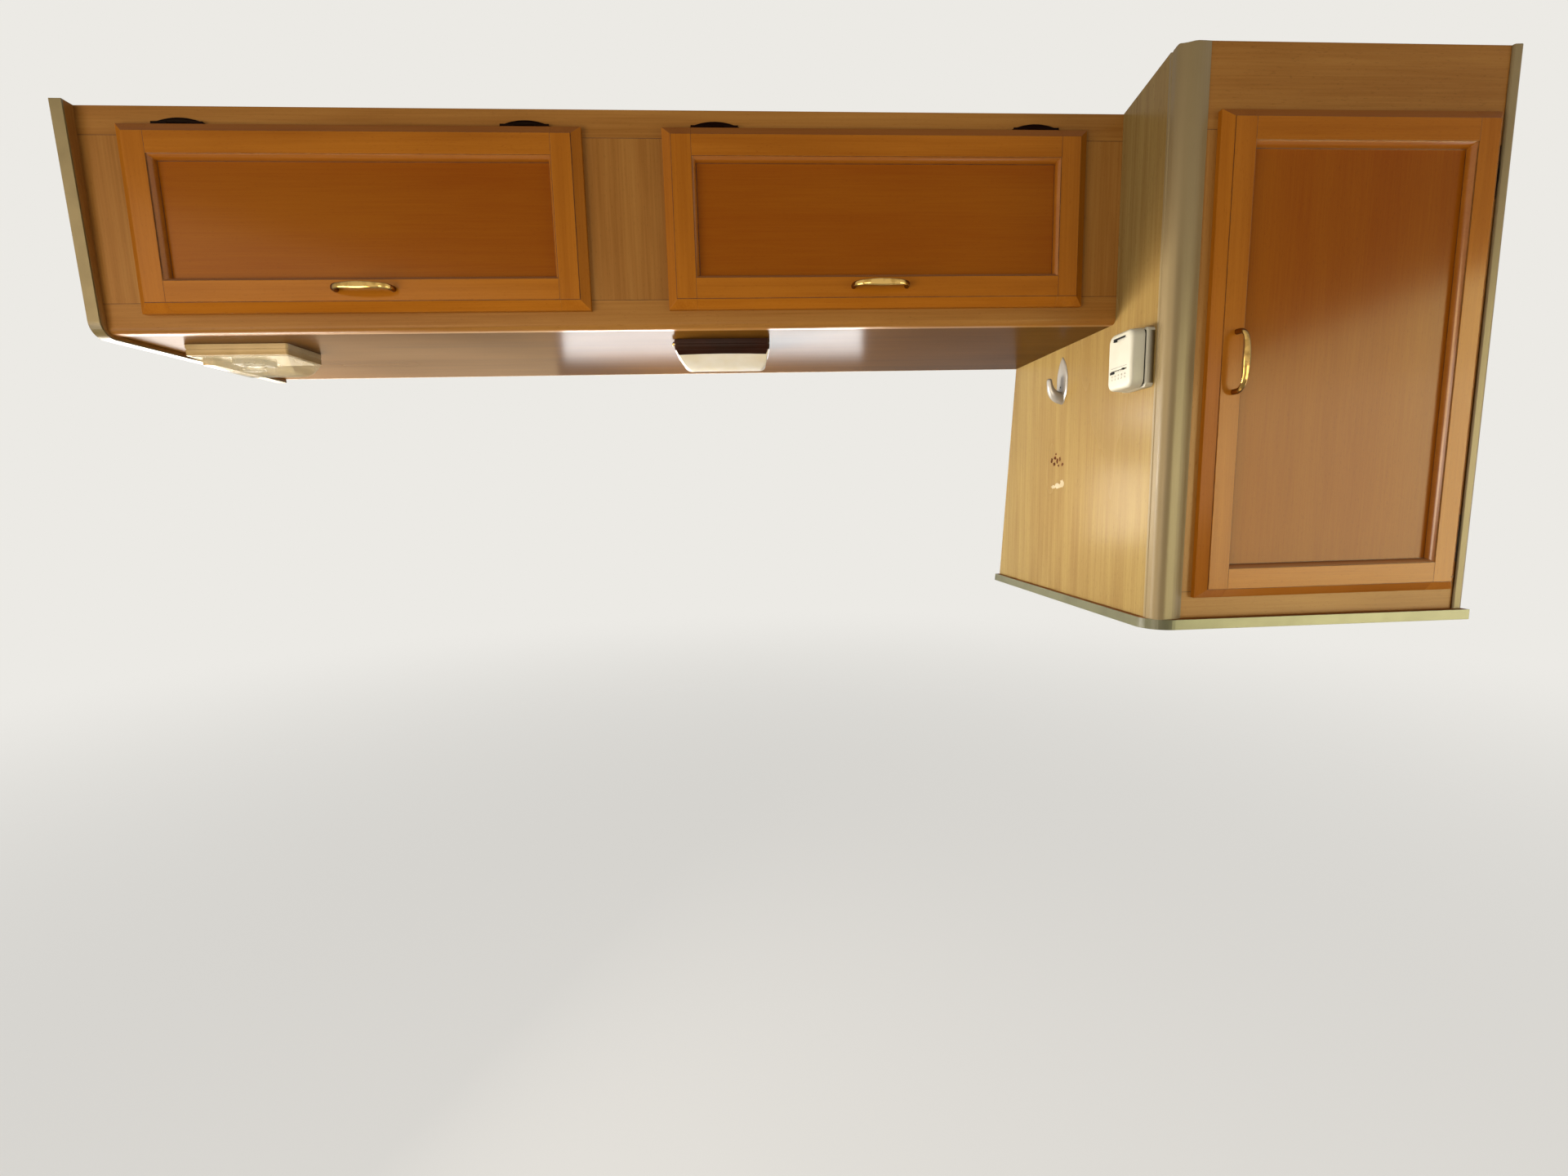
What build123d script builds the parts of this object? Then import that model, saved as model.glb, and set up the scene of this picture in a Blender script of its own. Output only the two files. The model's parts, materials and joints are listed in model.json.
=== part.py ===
from build123d import *
import os
from math import radians, tan, atan, degrees, sqrt

os.makedirs("parts", exist_ok=True)

# Overhead cabinet run: a two-door locker and a taller corner cupboard beside it.
# Origin on the wall line of the hanging screws, +X to the right, front towards -Y, +Z up.

# Wall and ceiling that the run is scribed to
wall_lean = tan(radians(9.1))
ceiling_rise = 0.17

# Locker
locker_half = 785.0
locker_top = 45.0
locker_bottom = -273.0
locker_face = -364.0
frame_thick = 18.0
top_seam = 5.4
bottom_seam = -229.8
end_stile = 74.0
left_stile_edge = end_stile - locker_half
centre_stile_left = -75.0
centre_stile_right = 69.0
right_stile_edge = locker_half - end_stile
board = 12.0
seam = 0.15

# End panel that stands proud of the face frame
end_board = 17.0
end_proud = 18.0
end_below = 7.0
end_set_back = 7.0
end_radius = 24.0
edging = 2.6

# Hanging rails and thin back
rail_thick = 18.0
rail_low = -27.0
rail_high = locker_top - board
back_thick = 3.0
screw_radius = 2.75
screw_spacing = 406.0
cup_screw_spacing = 406.0

# Corner cupboard
side_board = 15.0
cup_left = locker_half
cup_face = -502.5
cup_wide = 489.0
cup_right = cup_left + cup_wide
cup_bottom = -741.5
post_back = -482.0
post_width = 44.9
cup_top_seam = -44.6
cup_bottom_seam = cup_bottom + 40.6
cup_stile_left = cup_left + 72.0
cup_stile_right = cup_right - 23.0
trim_out = 16.4
base_thick = 15.5
base_left = 11.0
base_front = 14.5
base_radius = 40.0
shelf_heights = (cup_bottom + 471.5, cup_bottom + 241.5)

# Framed doors
door_edge = 8.0
bevel_width = 14.0
bevel_depth = 10.0
raise_step = 1.2
mould_width = 4.8
mould_depth = 12.5
panel_thick = 6.0
panel_tongue = 7.0
door_gap = 0.4
door_member = 44.0

# Bow pulls
pull_centres = 84.0
pull_foot = 10.0
pull_rise = 25.0
pull_thick = 4.2
pull_width = 13.0
pull_shoulder = 20.0
pull_crown = 3.0

# Lens hinges
hinge_long = 84.0
hinge_high = 10.0
hinge_plate = 1.8
knuckle_radius = 2.4
pin_radius = 1.2
pin_play = 0.05
hinge_out = 4.6
hinge_up = 3.7
hinge_high_narrow = 9.0
leaf_thick = 1.0

# Lamps under the locker
lamp_long = 162.0
lamp_deep = 95.0
lamp_base = 18.0
lamp_base_taper = 2.0
lamp_corner = 4.0
lamp_lens = 27.5
lens_round = 10.0
lens_step = 1.0
lens_wall = 1.8
lens_right_slant = 7.0
lamp_left_x = 132.5 - locker_half
lamp_right_x = centre_stile_right + 68.5
lamp_y = -243.5


def wall_y(z):
    """Depth of the leaning wall at a height."""
    return -wall_lean * z


def ceiling_z(y):
    """Height of the ceiling, which rises towards the room in front of the locker face."""
    return locker_top + ceiling_rise * max(0.0, locker_face - y)


def side_prism(points, x_low, x_high):
    """Board seen from the side: a closed outline in Y and Z, between two X values."""
    with BuildPart() as prism:
        with BuildSketch(Plane.YZ.offset(x_low)):
            with BuildLine():
                Polyline(*points, close=True)
            make_face()
        extrude(amount=x_high - x_low)
    return prism.part


def block(x_low, x_high, y_low, y_high, z_low, z_high):
    """Plain board between six values."""
    with BuildPart() as solid:
        with Locations(((x_low + x_high) / 2, (y_low + y_high) / 2, (z_low + z_high) / 2)):
            Box(x_high - x_low, y_high - y_low, z_high - z_low)
    return solid.part


def save(piece, name):
    """Label a finished piece and write it."""
    piece.label = name
    export_step(piece, "parts/" + name + ".step")


# Locker face frame, five members with open seams between them
frame_back = locker_face + frame_thick

with BuildPart() as locker_rail_top:
    add(block(-locker_half, locker_half, locker_face, frame_back, top_seam + seam, locker_top))
save(locker_rail_top.part, "locker_rail_top")

with BuildPart() as locker_rail_bottom:
    add(block(-locker_half, locker_half, locker_face, frame_back, locker_bottom, bottom_seam - seam))
    lip = locker_rail_bottom.edges().filter_by(Axis.X).group_by(Axis.Y)[0].sort_by(Axis.Z)[0]
    fillet(lip, 9.0)
save(locker_rail_bottom.part, "locker_rail_bottom")

stiles = (
    ("locker_stile_left", -locker_half, left_stile_edge),
    ("locker_stile_centre", centre_stile_left, centre_stile_right),
    ("locker_stile_right", right_stile_edge, locker_half),
)
for name, x_low, x_high in stiles:
    with BuildPart() as stile:
        add(block(x_low, x_high, locker_face, frame_back, bottom_seam, top_seam))
    save(stile.part, name)

# Locker boards: floor, top, divider, thin back and hanging rail
floor_top = locker_bottom + board
roof_low = locker_top - board

with BuildPart() as locker_floor:
    add(side_prism([
        (frame_back, locker_bottom),
        (frame_back, floor_top),
        (wall_y(floor_top) - back_thick, floor_top),
        (wall_y(locker_bottom) - back_thick, locker_bottom),
    ], -locker_half, locker_half))
save(locker_floor.part, "locker_floor")

with BuildPart() as locker_roof:
    add(side_prism([
        (frame_back, roof_low),
        (frame_back, locker_top),
        (wall_y(locker_top), locker_top),
        (wall_y(roof_low), roof_low),
    ], -locker_half, locker_half))
save(locker_roof.part, "locker_roof")

divider_x = (centre_stile_left + centre_stile_right) / 2
with BuildPart() as locker_divider:
    add(side_prism([
        (frame_back, floor_top),
        (frame_back, roof_low),
        (wall_y(rail_high) - rail_thick, rail_high),
        (wall_y(rail_low) - rail_thick, rail_low),
        (wall_y(rail_low) - back_thick, rail_low),
        (wall_y(floor_top) - back_thick, floor_top),
    ], divider_x - board / 2, divider_x + board / 2))
save(locker_divider.part, "locker_divider")

with BuildPart() as locker_back:
    add(side_prism([
        (wall_y(locker_bottom) - back_thick, locker_bottom),
        (wall_y(rail_low) - back_thick, rail_low),
        (wall_y(rail_low), rail_low),
        (wall_y(locker_bottom), locker_bottom),
    ], -locker_half, locker_half))
save(locker_back.part, "locker_back")


def rail_outline():
    """Section of a hanging rail whose back lies on the wall."""
    return [
        (wall_y(rail_low) - rail_thick, rail_low),
        (wall_y(rail_high) - rail_thick, rail_high),
        (wall_y(rail_high), rail_high),
        (wall_y(rail_low), rail_low),
    ]


with BuildPart() as locker_hanging_rail:
    add(side_prism(rail_outline(), -locker_half, locker_half))
    with BuildSketch(Plane.XZ.offset(40)):
        with GridLocations(screw_spacing, 1, 4, 1):
            Circle(screw_radius)
    extrude(amount=-80, mode=Mode.SUBTRACT)
save(locker_hanging_rail.part, "locker_hanging_rail")

# End panel with a rounded lower corner, and the edging that wraps its front and lower edges
end_low = locker_bottom - end_below
end_front = locker_face - end_proud


def end_outline(inset):
    """Side outline of the end panel, drawn in from the front and lower edges."""
    low = end_low + inset
    front = end_front + inset
    low_front = front + end_set_back
    turn = end_radius - inset
    with BuildSketch(Plane.YZ.offset(-locker_half - end_board)) as outline:
        with BuildLine():
            Line((front, locker_top), (low_front, low + turn))
            RadiusArc((low_front, low + turn), (low_front + turn, low), -turn)
            Line((low_front + turn, low), (wall_y(end_low), low))
            Line((wall_y(end_low), low), (wall_y(locker_top), locker_top))
            Line((wall_y(locker_top), locker_top), (front, locker_top))
        make_face()
    return outline.sketch


with BuildPart() as end_panel:
    extrude(end_outline(edging), amount=end_board, dir=(1, 0, 0))
save(end_panel.part, "end_panel")

with BuildPart() as end_edging:
    extrude(end_outline(0), amount=end_board, dir=(1, 0, 0))
    add(end_panel.part, mode=Mode.SUBTRACT)
save(end_edging.part, "end_edging")

# Corner cupboard boards
with BuildPart() as cupboard_side_left:
    add(side_prism([
        (post_back, cup_bottom),
        (post_back, ceiling_z(post_back)),
        (locker_face, locker_top),
        (wall_y(locker_top), locker_top),
        (wall_y(cup_bottom), cup_bottom),
    ], cup_left, cup_left + side_board))
save(cupboard_side_left.part, "cupboard_side_left")

with BuildPart() as cupboard_side_right:
    add(side_prism([
        (cup_face, cup_bottom),
        (cup_face, ceiling_z(cup_face)),
        (locker_face, locker_top),
        (wall_y(locker_top), locker_top),
        (wall_y(cup_bottom), cup_bottom),
    ], cup_right, cup_right + side_board))
save(cupboard_side_right.part, "cupboard_side_right")

cup_inner_left = cup_left + side_board
cup_back = cup_face + frame_thick
with BuildPart() as cupboard_roof:
    add(side_prism([
        (cup_back, roof_low),
        (cup_back, locker_top),
        (wall_y(locker_top), locker_top),
        (wall_y(roof_low), roof_low),
    ], cup_inner_left, cup_right))
save(cupboard_roof.part, "cupboard_roof")

with BuildPart() as cupboard_back:
    add(side_prism([
        (wall_y(cup_bottom) - back_thick, cup_bottom),
        (wall_y(rail_low) - back_thick, rail_low),
        (wall_y(rail_low), rail_low),
        (wall_y(cup_bottom), cup_bottom),
    ], cup_inner_left, cup_right))
save(cupboard_back.part, "cupboard_back")

cup_middle = (cup_inner_left + cup_right) / 2
with BuildPart() as cupboard_hanging_rail:
    add(side_prism(rail_outline(), cup_inner_left, cup_right))
    with BuildSketch(Plane.XZ.offset(40)):
        with Locations((cup_middle, 0)):
            with GridLocations(cup_screw_spacing, 1, 2, 1):
                Circle(screw_radius)
    extrude(amount=-80, mode=Mode.SUBTRACT)
save(cupboard_hanging_rail.part, "cupboard_hanging_rail")

for number, height in enumerate(shelf_heights, 1):
    with BuildPart() as shelf:
        add(side_prism([
            (cup_back, height),
            (cup_back, height + board),
            (wall_y(height + board) - back_thick, height + board),
            (wall_y(height) - back_thick, height),
        ], cup_inner_left, cup_right))
    save(shelf.part, "cupboard_shelf_" + str(number))

# Corner post: an extruded nose between the side board and the face frame
post_right = cup_left + post_width
post_top = ceiling_z(cup_face - 12) + 5
with BuildPart() as corner_post:
    with BuildSketch(Plane.XY.offset(cup_bottom)):
        with BuildLine():
            Polyline(
                (post_right, cup_face),
                (post_right, cup_face + frame_thick),
                (cup_left + side_board, cup_face + frame_thick),
                (cup_left + side_board, post_back),
                (cup_left, post_back),
            )
            Polyline(
                (cup_left, post_back),
                (cup_left - 1.8, post_back - 1.0),
                (cup_left - 1.8, post_back - 5.0),
                (cup_left - 0.6, post_back - 6.2),
                (cup_left - 1.6, post_back - 7.6),
            )
            Line((cup_left - 1.6, post_back - 7.6), (cup_left - 1.6, post_back - 15))
            ThreePointArc(
                (cup_left - 1.6, post_back - 15),
                (cup_left + 3.2, post_back - 26),
                (cup_left + 15, post_back - 30.5),
            )
            ThreePointArc(
                (cup_left + 15, post_back - 30.5),
                (cup_left + 29, post_back - 28.4),
                (post_right - 3.2, cup_face - 2.6),
            )
            Polyline(
                (post_right - 3.2, cup_face - 2.6),
                (post_right - 0.4, cup_face - 1.6),
                (post_right, cup_face),
            )
        make_face()
    extrude(amount=post_top - cup_bottom)
    with BuildSketch(Plane.YZ.offset(cup_left - 20)):
        with BuildLine():
            Polyline(
                (-560, ceiling_z(-560)),
                (locker_face, locker_top),
                (locker_face, post_top + 20),
                (-560, post_top + 20),
                close=True,
            )
        make_face()
    extrude(amount=90, mode=Mode.SUBTRACT)
save(corner_post.part, "corner_post")

# Cupboard face frame
face_top = ceiling_z(cup_face)
with BuildPart() as cupboard_rail_top:
    add(block(post_right, cup_right, cup_face, cup_back, cup_top_seam + seam, face_top))
save(cupboard_rail_top.part, "cupboard_rail_top")

with BuildPart() as cupboard_rail_bottom:
    add(block(post_right, cup_right, cup_face, cup_back, cup_bottom, cup_bottom_seam - seam))
save(cupboard_rail_bottom.part, "cupboard_rail_bottom")

with BuildPart() as cupboard_stile_left_piece:
    add(block(post_right, cup_stile_left, cup_face, cup_back, cup_bottom_seam, cup_top_seam))
save(cupboard_stile_left_piece.part, "cupboard_stile_left")

with BuildPart() as cupboard_stile_right_piece:
    add(block(cup_stile_right, cup_right, cup_face, cup_back, cup_bottom_seam, cup_top_seam))
save(cupboard_stile_right_piece.part, "cupboard_stile_right")

# Extruded end trim over the front edge of the right side board
with BuildPart() as cupboard_end_trim:
    with BuildSketch(Plane.XY.offset(cup_bottom)):
        with BuildLine():
            Polyline(
                (cup_right, cup_face),
                (cup_right, cup_face - 2.4),
                (cup_right + 1.4, cup_face - 3.8),
                (cup_right + trim_out - 6.4, cup_face - 4.4),
            )
            ThreePointArc(
                (cup_right + trim_out - 6.4, cup_face - 4.4),
                (cup_right + trim_out - 1.5, cup_face - 1.6),
                (cup_right + trim_out, cup_face + 5),
            )
            Polyline(
                (cup_right + trim_out, cup_face + 5),
                (cup_right + trim_out, cup_face + 16),
                (cup_right + side_board, cup_face + 16),
                (cup_right + side_board, cup_face),
                (cup_right, cup_face),
            )
        make_face()
    extrude(amount=face_top - cup_bottom)
save(cupboard_end_trim.part, "cupboard_end_trim")

# Base board of the cupboard, wider than the box above it, with its own edging
base_low = cup_bottom - base_thick
base_x0 = cup_left - base_left
base_x1 = cup_right + trim_out
base_y0 = cup_face - base_front


def base_outline(inset):
    """Plan of the base board, drawn in from its left and front edges."""
    x0 = base_x0 + inset
    y0 = base_y0 + inset
    turn = base_radius - inset
    with BuildSketch(Plane.XY.offset(base_low)) as plan:
        with BuildLine():
            Line((x0, 160), (x0, y0 + turn))
            RadiusArc((x0, y0 + turn), (x0 + turn, y0), -turn)
            Line((x0 + turn, y0), (base_x1, y0))
            Line((base_x1, y0), (base_x1, 160))
            Line((base_x1, 160), (x0, 160))
        make_face()
    return plan.sketch


with BuildPart() as wall_wedge:
    add(side_prism([
        (wall_y(base_low), base_low),
        (wall_y(cup_bottom), cup_bottom),
        (wall_y(cup_bottom), cup_bottom + 20),
        (300, cup_bottom + 20),
        (300, base_low - 20),
        (wall_y(base_low), base_low - 20),
    ], base_x0 - 10, base_x1 + 10))

with BuildPart() as cupboard_base:
    extrude(base_outline(edging), amount=base_thick, dir=(0, 0, 1))
    add(wall_wedge.part, mode=Mode.SUBTRACT)
save(cupboard_base.part, "cupboard_base")

with BuildPart() as cupboard_base_edging:
    extrude(base_outline(0), amount=base_thick, dir=(0, 0, 1))
    add(wall_wedge.part, mode=Mode.SUBTRACT)
    add(cupboard_base.part, mode=Mode.SUBTRACT)
save(cupboard_base_edging.part, "cupboard_base_edging")


# Doors
door_front = door_edge + bevel_depth + raise_step


def door_frame(face, x_mid, z_mid, wide, high):
    """Whole frame of a door, with its bevelled rim, raised face, inner mould and panel rebate."""
    outer = Plane(origin=(x_mid, face - door_gap, z_mid), x_dir=(1, 0, 0), z_dir=(0, -1, 0))
    opening_wide = wide - 2 * door_member
    opening_high = high - 2 * door_member
    taper = degrees(atan(bevel_width / bevel_depth))
    mould_taper = degrees(atan(mould_width / mould_depth))
    with BuildPart() as frame:
        with BuildSketch(outer):
            Rectangle(wide, high)
        extrude(amount=door_edge)
        with BuildSketch(outer.offset(door_edge)):
            Rectangle(wide, high)
        extrude(amount=bevel_depth, taper=taper)
        with BuildSketch(outer.offset(door_edge + bevel_depth)):
            Rectangle(wide - 2 * bevel_width, high - 2 * bevel_width)
        extrude(amount=raise_step)
        with BuildSketch(outer.offset(door_front)):
            Rectangle(opening_wide, opening_high)
        extrude(amount=-mould_depth, taper=mould_taper, mode=Mode.SUBTRACT)
        with BuildSketch(outer):
            Rectangle(
                opening_wide - 2 * mould_width + 2 * panel_tongue,
                opening_high - 2 * mould_width + 2 * panel_tongue,
            )
        extrude(amount=door_front - mould_depth, mode=Mode.SUBTRACT)
    return frame.part


def door_pieces(prefix, face, x_mid, z_mid, wide, high):
    """Two stiles, two rails and the loose panel of one door."""
    whole = door_frame(face, x_mid, z_mid, wide, high)
    y_mid = face - door_gap - door_front / 2
    reach = wide / 2 - door_member
    for side, sign in (("stile_left", -1), ("stile_right", 1)):
        with BuildPart() as member:
            add(whole)
            with Locations((x_mid + sign * (reach + door_member / 2 + 5), y_mid, z_mid)):
                Box(door_member + 10, door_front + 4, high + 20, mode=Mode.INTERSECT)
        save(member.part, prefix + "_" + side)
    for side, sign in (("rail_top", 1), ("rail_bottom", -1)):
        with BuildPart() as member:
            add(whole)
            with Locations((x_mid, y_mid, z_mid + sign * (high / 2 - door_member / 2))):
                Box(2 * reach - 2 * seam, door_front + 4, door_member + 20, mode=Mode.INTERSECT)
        save(member.part, prefix + "_" + side)
    panel_front = face - door_gap - door_front + mould_depth
    with BuildPart() as panel:
        add(block(
            x_mid - reach + mould_width - panel_tongue + 0.3,
            x_mid + reach - mould_width + panel_tongue - 0.3,
            panel_front, panel_front + panel_thick,
            z_mid - high / 2 + door_member + mould_width - panel_tongue + 0.3,
            z_mid + high / 2 - door_member - mould_width + panel_tongue - 0.3,
        ))
    save(panel.part, prefix + "_panel")


def pull(plane):
    """Bow pull on a plane whose local X runs along the pull and local Z points out of the door."""
    half = pull_centres / 2 + pull_foot / 2
    inner_half = pull_centres / 2 - pull_foot / 2
    foot_high = 3.0
    shoulder = half - pull_shoulder
    shoulder_high = pull_rise - pull_crown
    inner_shoulder = shoulder - 3
    inner_high = shoulder_high - pull_thick + 0.2
    bend = half - 5.5
    bend_high = 0.6 * pull_rise
    side_view = Plane(origin=plane.origin, x_dir=plane.x_dir, z_dir=-plane.y_dir)
    with BuildPart() as bow:
        with BuildSketch(side_view):
            with BuildLine():
                Line((-half, 0), (-half, foot_high))
                ThreePointArc((-half, foot_high), (-bend, bend_high), (-shoulder, shoulder_high))
                ThreePointArc((-shoulder, shoulder_high), (0, pull_rise), (shoulder, shoulder_high))
                ThreePointArc((shoulder, shoulder_high), (bend, bend_high), (half, foot_high))
                Polyline((half, foot_high), (half, 0), (inner_half, 0))
                ThreePointArc(
                    (inner_half, 0), (inner_half - 3.5, 0.42 * pull_rise), (inner_shoulder, inner_high)
                )
                ThreePointArc(
                    (inner_shoulder, inner_high), (0, pull_rise - pull_thick), (-inner_shoulder, inner_high)
                )
                ThreePointArc(
                    (-inner_shoulder, inner_high), (3.5 - inner_half, 0.42 * pull_rise), (-inner_half, 0)
                )
                Line((-inner_half, 0), (-half, 0))
            make_face()
        extrude(amount=pull_width / 2, both=True)
        with BuildSketch(plane):
            with BuildLine():
                ThreePointArc((-half - 2, 3.4), (0, pull_width / 2), (half + 2, 3.4))
                Line((half + 2, 3.4), (half + 2, -3.4))
                ThreePointArc((half + 2, -3.4), (0, -pull_width / 2), (-half - 2, -3.4))
                Line((-half - 2, -3.4), (-half - 2, 3.4))
            make_face()
        extrude(amount=pull_rise + 4, mode=Mode.INTERSECT)
    return bow.part


def frame_leaf(plane, high):
    """Fixed hinge leaf: local X along the pin, local Y away from the door, local Z out of the frame."""
    with BuildPart() as leaf:
        with BuildSketch(plane):
            with BuildLine():
                Line((-hinge_long / 2, 0), (hinge_long / 2, 0))
                ThreePointArc((hinge_long / 2, 0), (0, high), (-hinge_long / 2, 0))
            make_face()
        extrude(amount=hinge_plate)
        barrel = Plane(origin=plane.origin, x_dir=plane.y_dir, z_dir=plane.x_dir)
        middle = hinge_long / 6
        with BuildSketch(barrel.offset(-middle + 0.25)):
            with Locations((hinge_up - 1.5, hinge_out)):
                Circle(knuckle_radius)
            with Locations((hinge_up - 1.5, (hinge_out + hinge_plate) / 2)):
                Rectangle(2 * knuckle_radius * 0.78, hinge_out - hinge_plate + 0.2)
        extrude(amount=2 * middle - 0.5)
        with BuildSketch(barrel.offset(-hinge_long / 2 + 8)):
            with Locations((hinge_up - 1.5, hinge_out)):
                Circle(pin_radius)
        extrude(amount=hinge_long - 16)
    return leaf.part


def door_leaf(plane):
    """Moving hinge leaf on the door's own edge, with the two outer knuckles."""
    with BuildPart() as leaf:
        barrel = Plane(origin=plane.origin, x_dir=plane.y_dir, z_dir=plane.x_dir)
        middle = hinge_long / 6
        outer = hinge_long / 2 - 6
        with BuildSketch(plane.offset(hinge_plate + 0.5)):
            with Locations((0, -1.5 + leaf_thick / 2)):
                Rectangle(2 * outer, leaf_thick)
        extrude(amount=5.2)
        for start in (-outer, middle + 0.25):
            with BuildSketch(barrel.offset(start)):
                with Locations((hinge_up - 1.5, hinge_out)):
                    Circle(knuckle_radius)
                with Locations(((hinge_up - 3.0) / 2, hinge_out)):
                    Rectangle(hinge_up, 2 * knuckle_radius * 0.8)
            extrude(amount=outer - middle - 0.25)
        with BuildSketch(barrel.offset(-hinge_long / 2)):
            with Locations((hinge_up - 1.5, hinge_out)):
                Circle(pin_radius + pin_play)
        extrude(amount=hinge_long, mode=Mode.SUBTRACT)
    return leaf.part


left_door_edges = (left_stile_edge - 13.9, centre_stile_left + 13.1)
right_door_edges = (centre_stile_right - 10.3, right_stile_edge + 10.7)
left_hinge_in = 83.4
right_hinge_in = 80.0
locker_doors = (("left_door", left_door_edges, left_hinge_in), ("right_door", right_door_edges, right_hinge_in))
locker_door_top = 17.0
locker_door_bottom = -246.9
locker_door_high = locker_door_top - locker_door_bottom
locker_door_mid = (locker_door_top + locker_door_bottom) / 2
pull_height = -217.0

for prefix, edges, hinge_in in locker_doors:
    x_mid = (edges[0] + edges[1]) / 2
    hinge_places = (edges[0] + hinge_in, edges[1] - hinge_in)
    door_pieces(prefix, locker_face, x_mid, locker_door_mid, edges[1] - edges[0], locker_door_high)
    pull_plane = Plane(
        origin=(x_mid, locker_face - door_gap - door_front, pull_height), x_dir=(1, 0, 0), z_dir=(0, -1, 0)
    )
    with BuildPart() as locker_pull:
        add(pull(pull_plane))
    save(locker_pull.part, prefix + "_pull")
    with BuildPart() as fixed_leaves:
        for x in hinge_places:
            add(frame_leaf(Plane(
                origin=(x, locker_face, locker_door_top + 1.5), x_dir=(1, 0, 0), z_dir=(0, -1, 0)
            ), hinge_high))
    save(fixed_leaves.part, prefix + "_hinge_leaves")
    with BuildPart() as moving_leaves:
        for x in hinge_places:
            add(door_leaf(Plane(
                origin=(x, locker_face, locker_door_top + 1.5), x_dir=(1, 0, 0), z_dir=(0, -1, 0)
            )))
    save(moving_leaves.part, prefix + "_knuckles")

cup_door_left = cup_stile_left - 11.7
cup_door_right = cup_stile_right + 12.1
cup_door_top = cup_top_seam + 22.2
cup_door_bottom = cup_bottom_seam - 8.3
cup_door_wide = cup_door_right - cup_door_left
cup_door_high = cup_door_top - cup_door_bottom
cup_door_x = (cup_door_left + cup_door_right) / 2
cup_door_z = (cup_door_top + cup_door_bottom) / 2
cup_hinge_in = 79.2
cup_hinge_heights = (cup_door_top - cup_hinge_in, cup_door_bottom + cup_hinge_in)
cup_pull_x = cup_door_left + 33.7
cup_pull_z = cup_door_z + 1.3

door_pieces("cupboard_door", cup_face, cup_door_x, cup_door_z, cup_door_wide, cup_door_high)
cup_pull_plane = Plane(
    origin=(cup_pull_x, cup_face - door_gap - door_front, cup_pull_z), x_dir=(0, 0, 1), z_dir=(0, -1, 0)
)
with BuildPart() as cupboard_pull:
    add(pull(cup_pull_plane))
save(cupboard_pull.part, "cupboard_door_pull")

with BuildPart() as cupboard_fixed_leaves:
    for z in cup_hinge_heights:
        add(frame_leaf(Plane(
            origin=(cup_door_right + 1.5, cup_face, z), x_dir=(0, 0, -1), z_dir=(0, -1, 0)
        ), hinge_high_narrow))
save(cupboard_fixed_leaves.part, "cupboard_door_hinge_leaves")

with BuildPart() as cupboard_moving_leaves:
    for z in cup_hinge_heights:
        add(door_leaf(Plane(
            origin=(cup_door_right + 1.5, cup_face, z), x_dir=(0, 0, -1), z_dir=(0, -1, 0)
        )))
save(cupboard_moving_leaves.part, "cupboard_door_knuckles")

# Lamps: a tapered base, a deep lens shell under it, and a push switch on the left end
base_low_z = locker_bottom - lamp_base
base_inset = lamp_base * tan(radians(lamp_base_taper))
lens_long = lamp_long - 2 * base_inset - 2 * lens_step
lens_deep = lamp_deep - 2 * base_inset - 2 * lens_step


def lens_body(x_mid, left_slant, inset):
    """Solid of a lens drawn in from its outer faces: slanted ends seen from the front, an arc seen from the end."""
    half = lens_long / 2 - inset
    deep = lens_deep / 2 - inset
    high = lamp_lens - inset
    with BuildPart() as body:
        with BuildSketch(Plane(origin=(x_mid, lamp_y, base_low_z), x_dir=(1, 0, 0), z_dir=(0, -1, 0))) as front_view:
            with BuildLine():
                Polyline(
                    (-half, 0), (half, 0), (half - lens_right_slant, -high), (left_slant - half, -high), close=True
                )
            make_face()
            fillet(front_view.vertices().group_by(Axis.Y)[0], lens_round - inset)
        extrude(amount=lamp_deep, both=True)
        with BuildSketch(Plane(origin=(x_mid, lamp_y, base_low_z), x_dir=(0, 1, 0), z_dir=(1, 0, 0))):
            with BuildLine():
                ThreePointArc((-deep, 0), (0, -high), (deep, 0))
                Line((deep, 0), (-deep, 0))
            make_face()
        extrude(amount=lamp_long, both=True, mode=Mode.INTERSECT)
    return body.part


lamp_bases = []
for name, x_mid, left_slant in (("left_lamp", lamp_left_x, 24.0), ("right_lamp", lamp_right_x, 17.0)):
    with BuildPart() as base:
        with BuildSketch(Plane.XY.offset(locker_bottom)):
            with Locations((x_mid, lamp_y)):
                RectangleRounded(lamp_long, lamp_deep, lamp_corner)
        extrude(amount=-lamp_base, taper=lamp_base_taper)
        chamfer(base.edges().group_by(Axis.Z)[0], 0.6)
    save(base.part, name + "_base")
    lamp_bases.append(base.part)
    with BuildPart() as lens:
        add(lens_body(x_mid, left_slant, 0))
        add(lens_body(x_mid, left_slant, lens_wall), mode=Mode.SUBTRACT)
    save(lens.part, name + "_lens")

with BuildPart() as lamp_switches:
    for x_mid in (lamp_left_x, lamp_right_x):
        with BuildSketch(Plane.YZ.offset(x_mid - lamp_long / 2 + 1)):
            with Locations((lamp_y - lamp_deep / 2 + 14, locker_bottom - lamp_base / 2 + 3)):
                Circle(3.6)
        extrude(amount=-6)
    for one_base in lamp_bases:
        add(one_base, mode=Mode.SUBTRACT)
save(lamp_switches.part, "lamp_switches")

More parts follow.
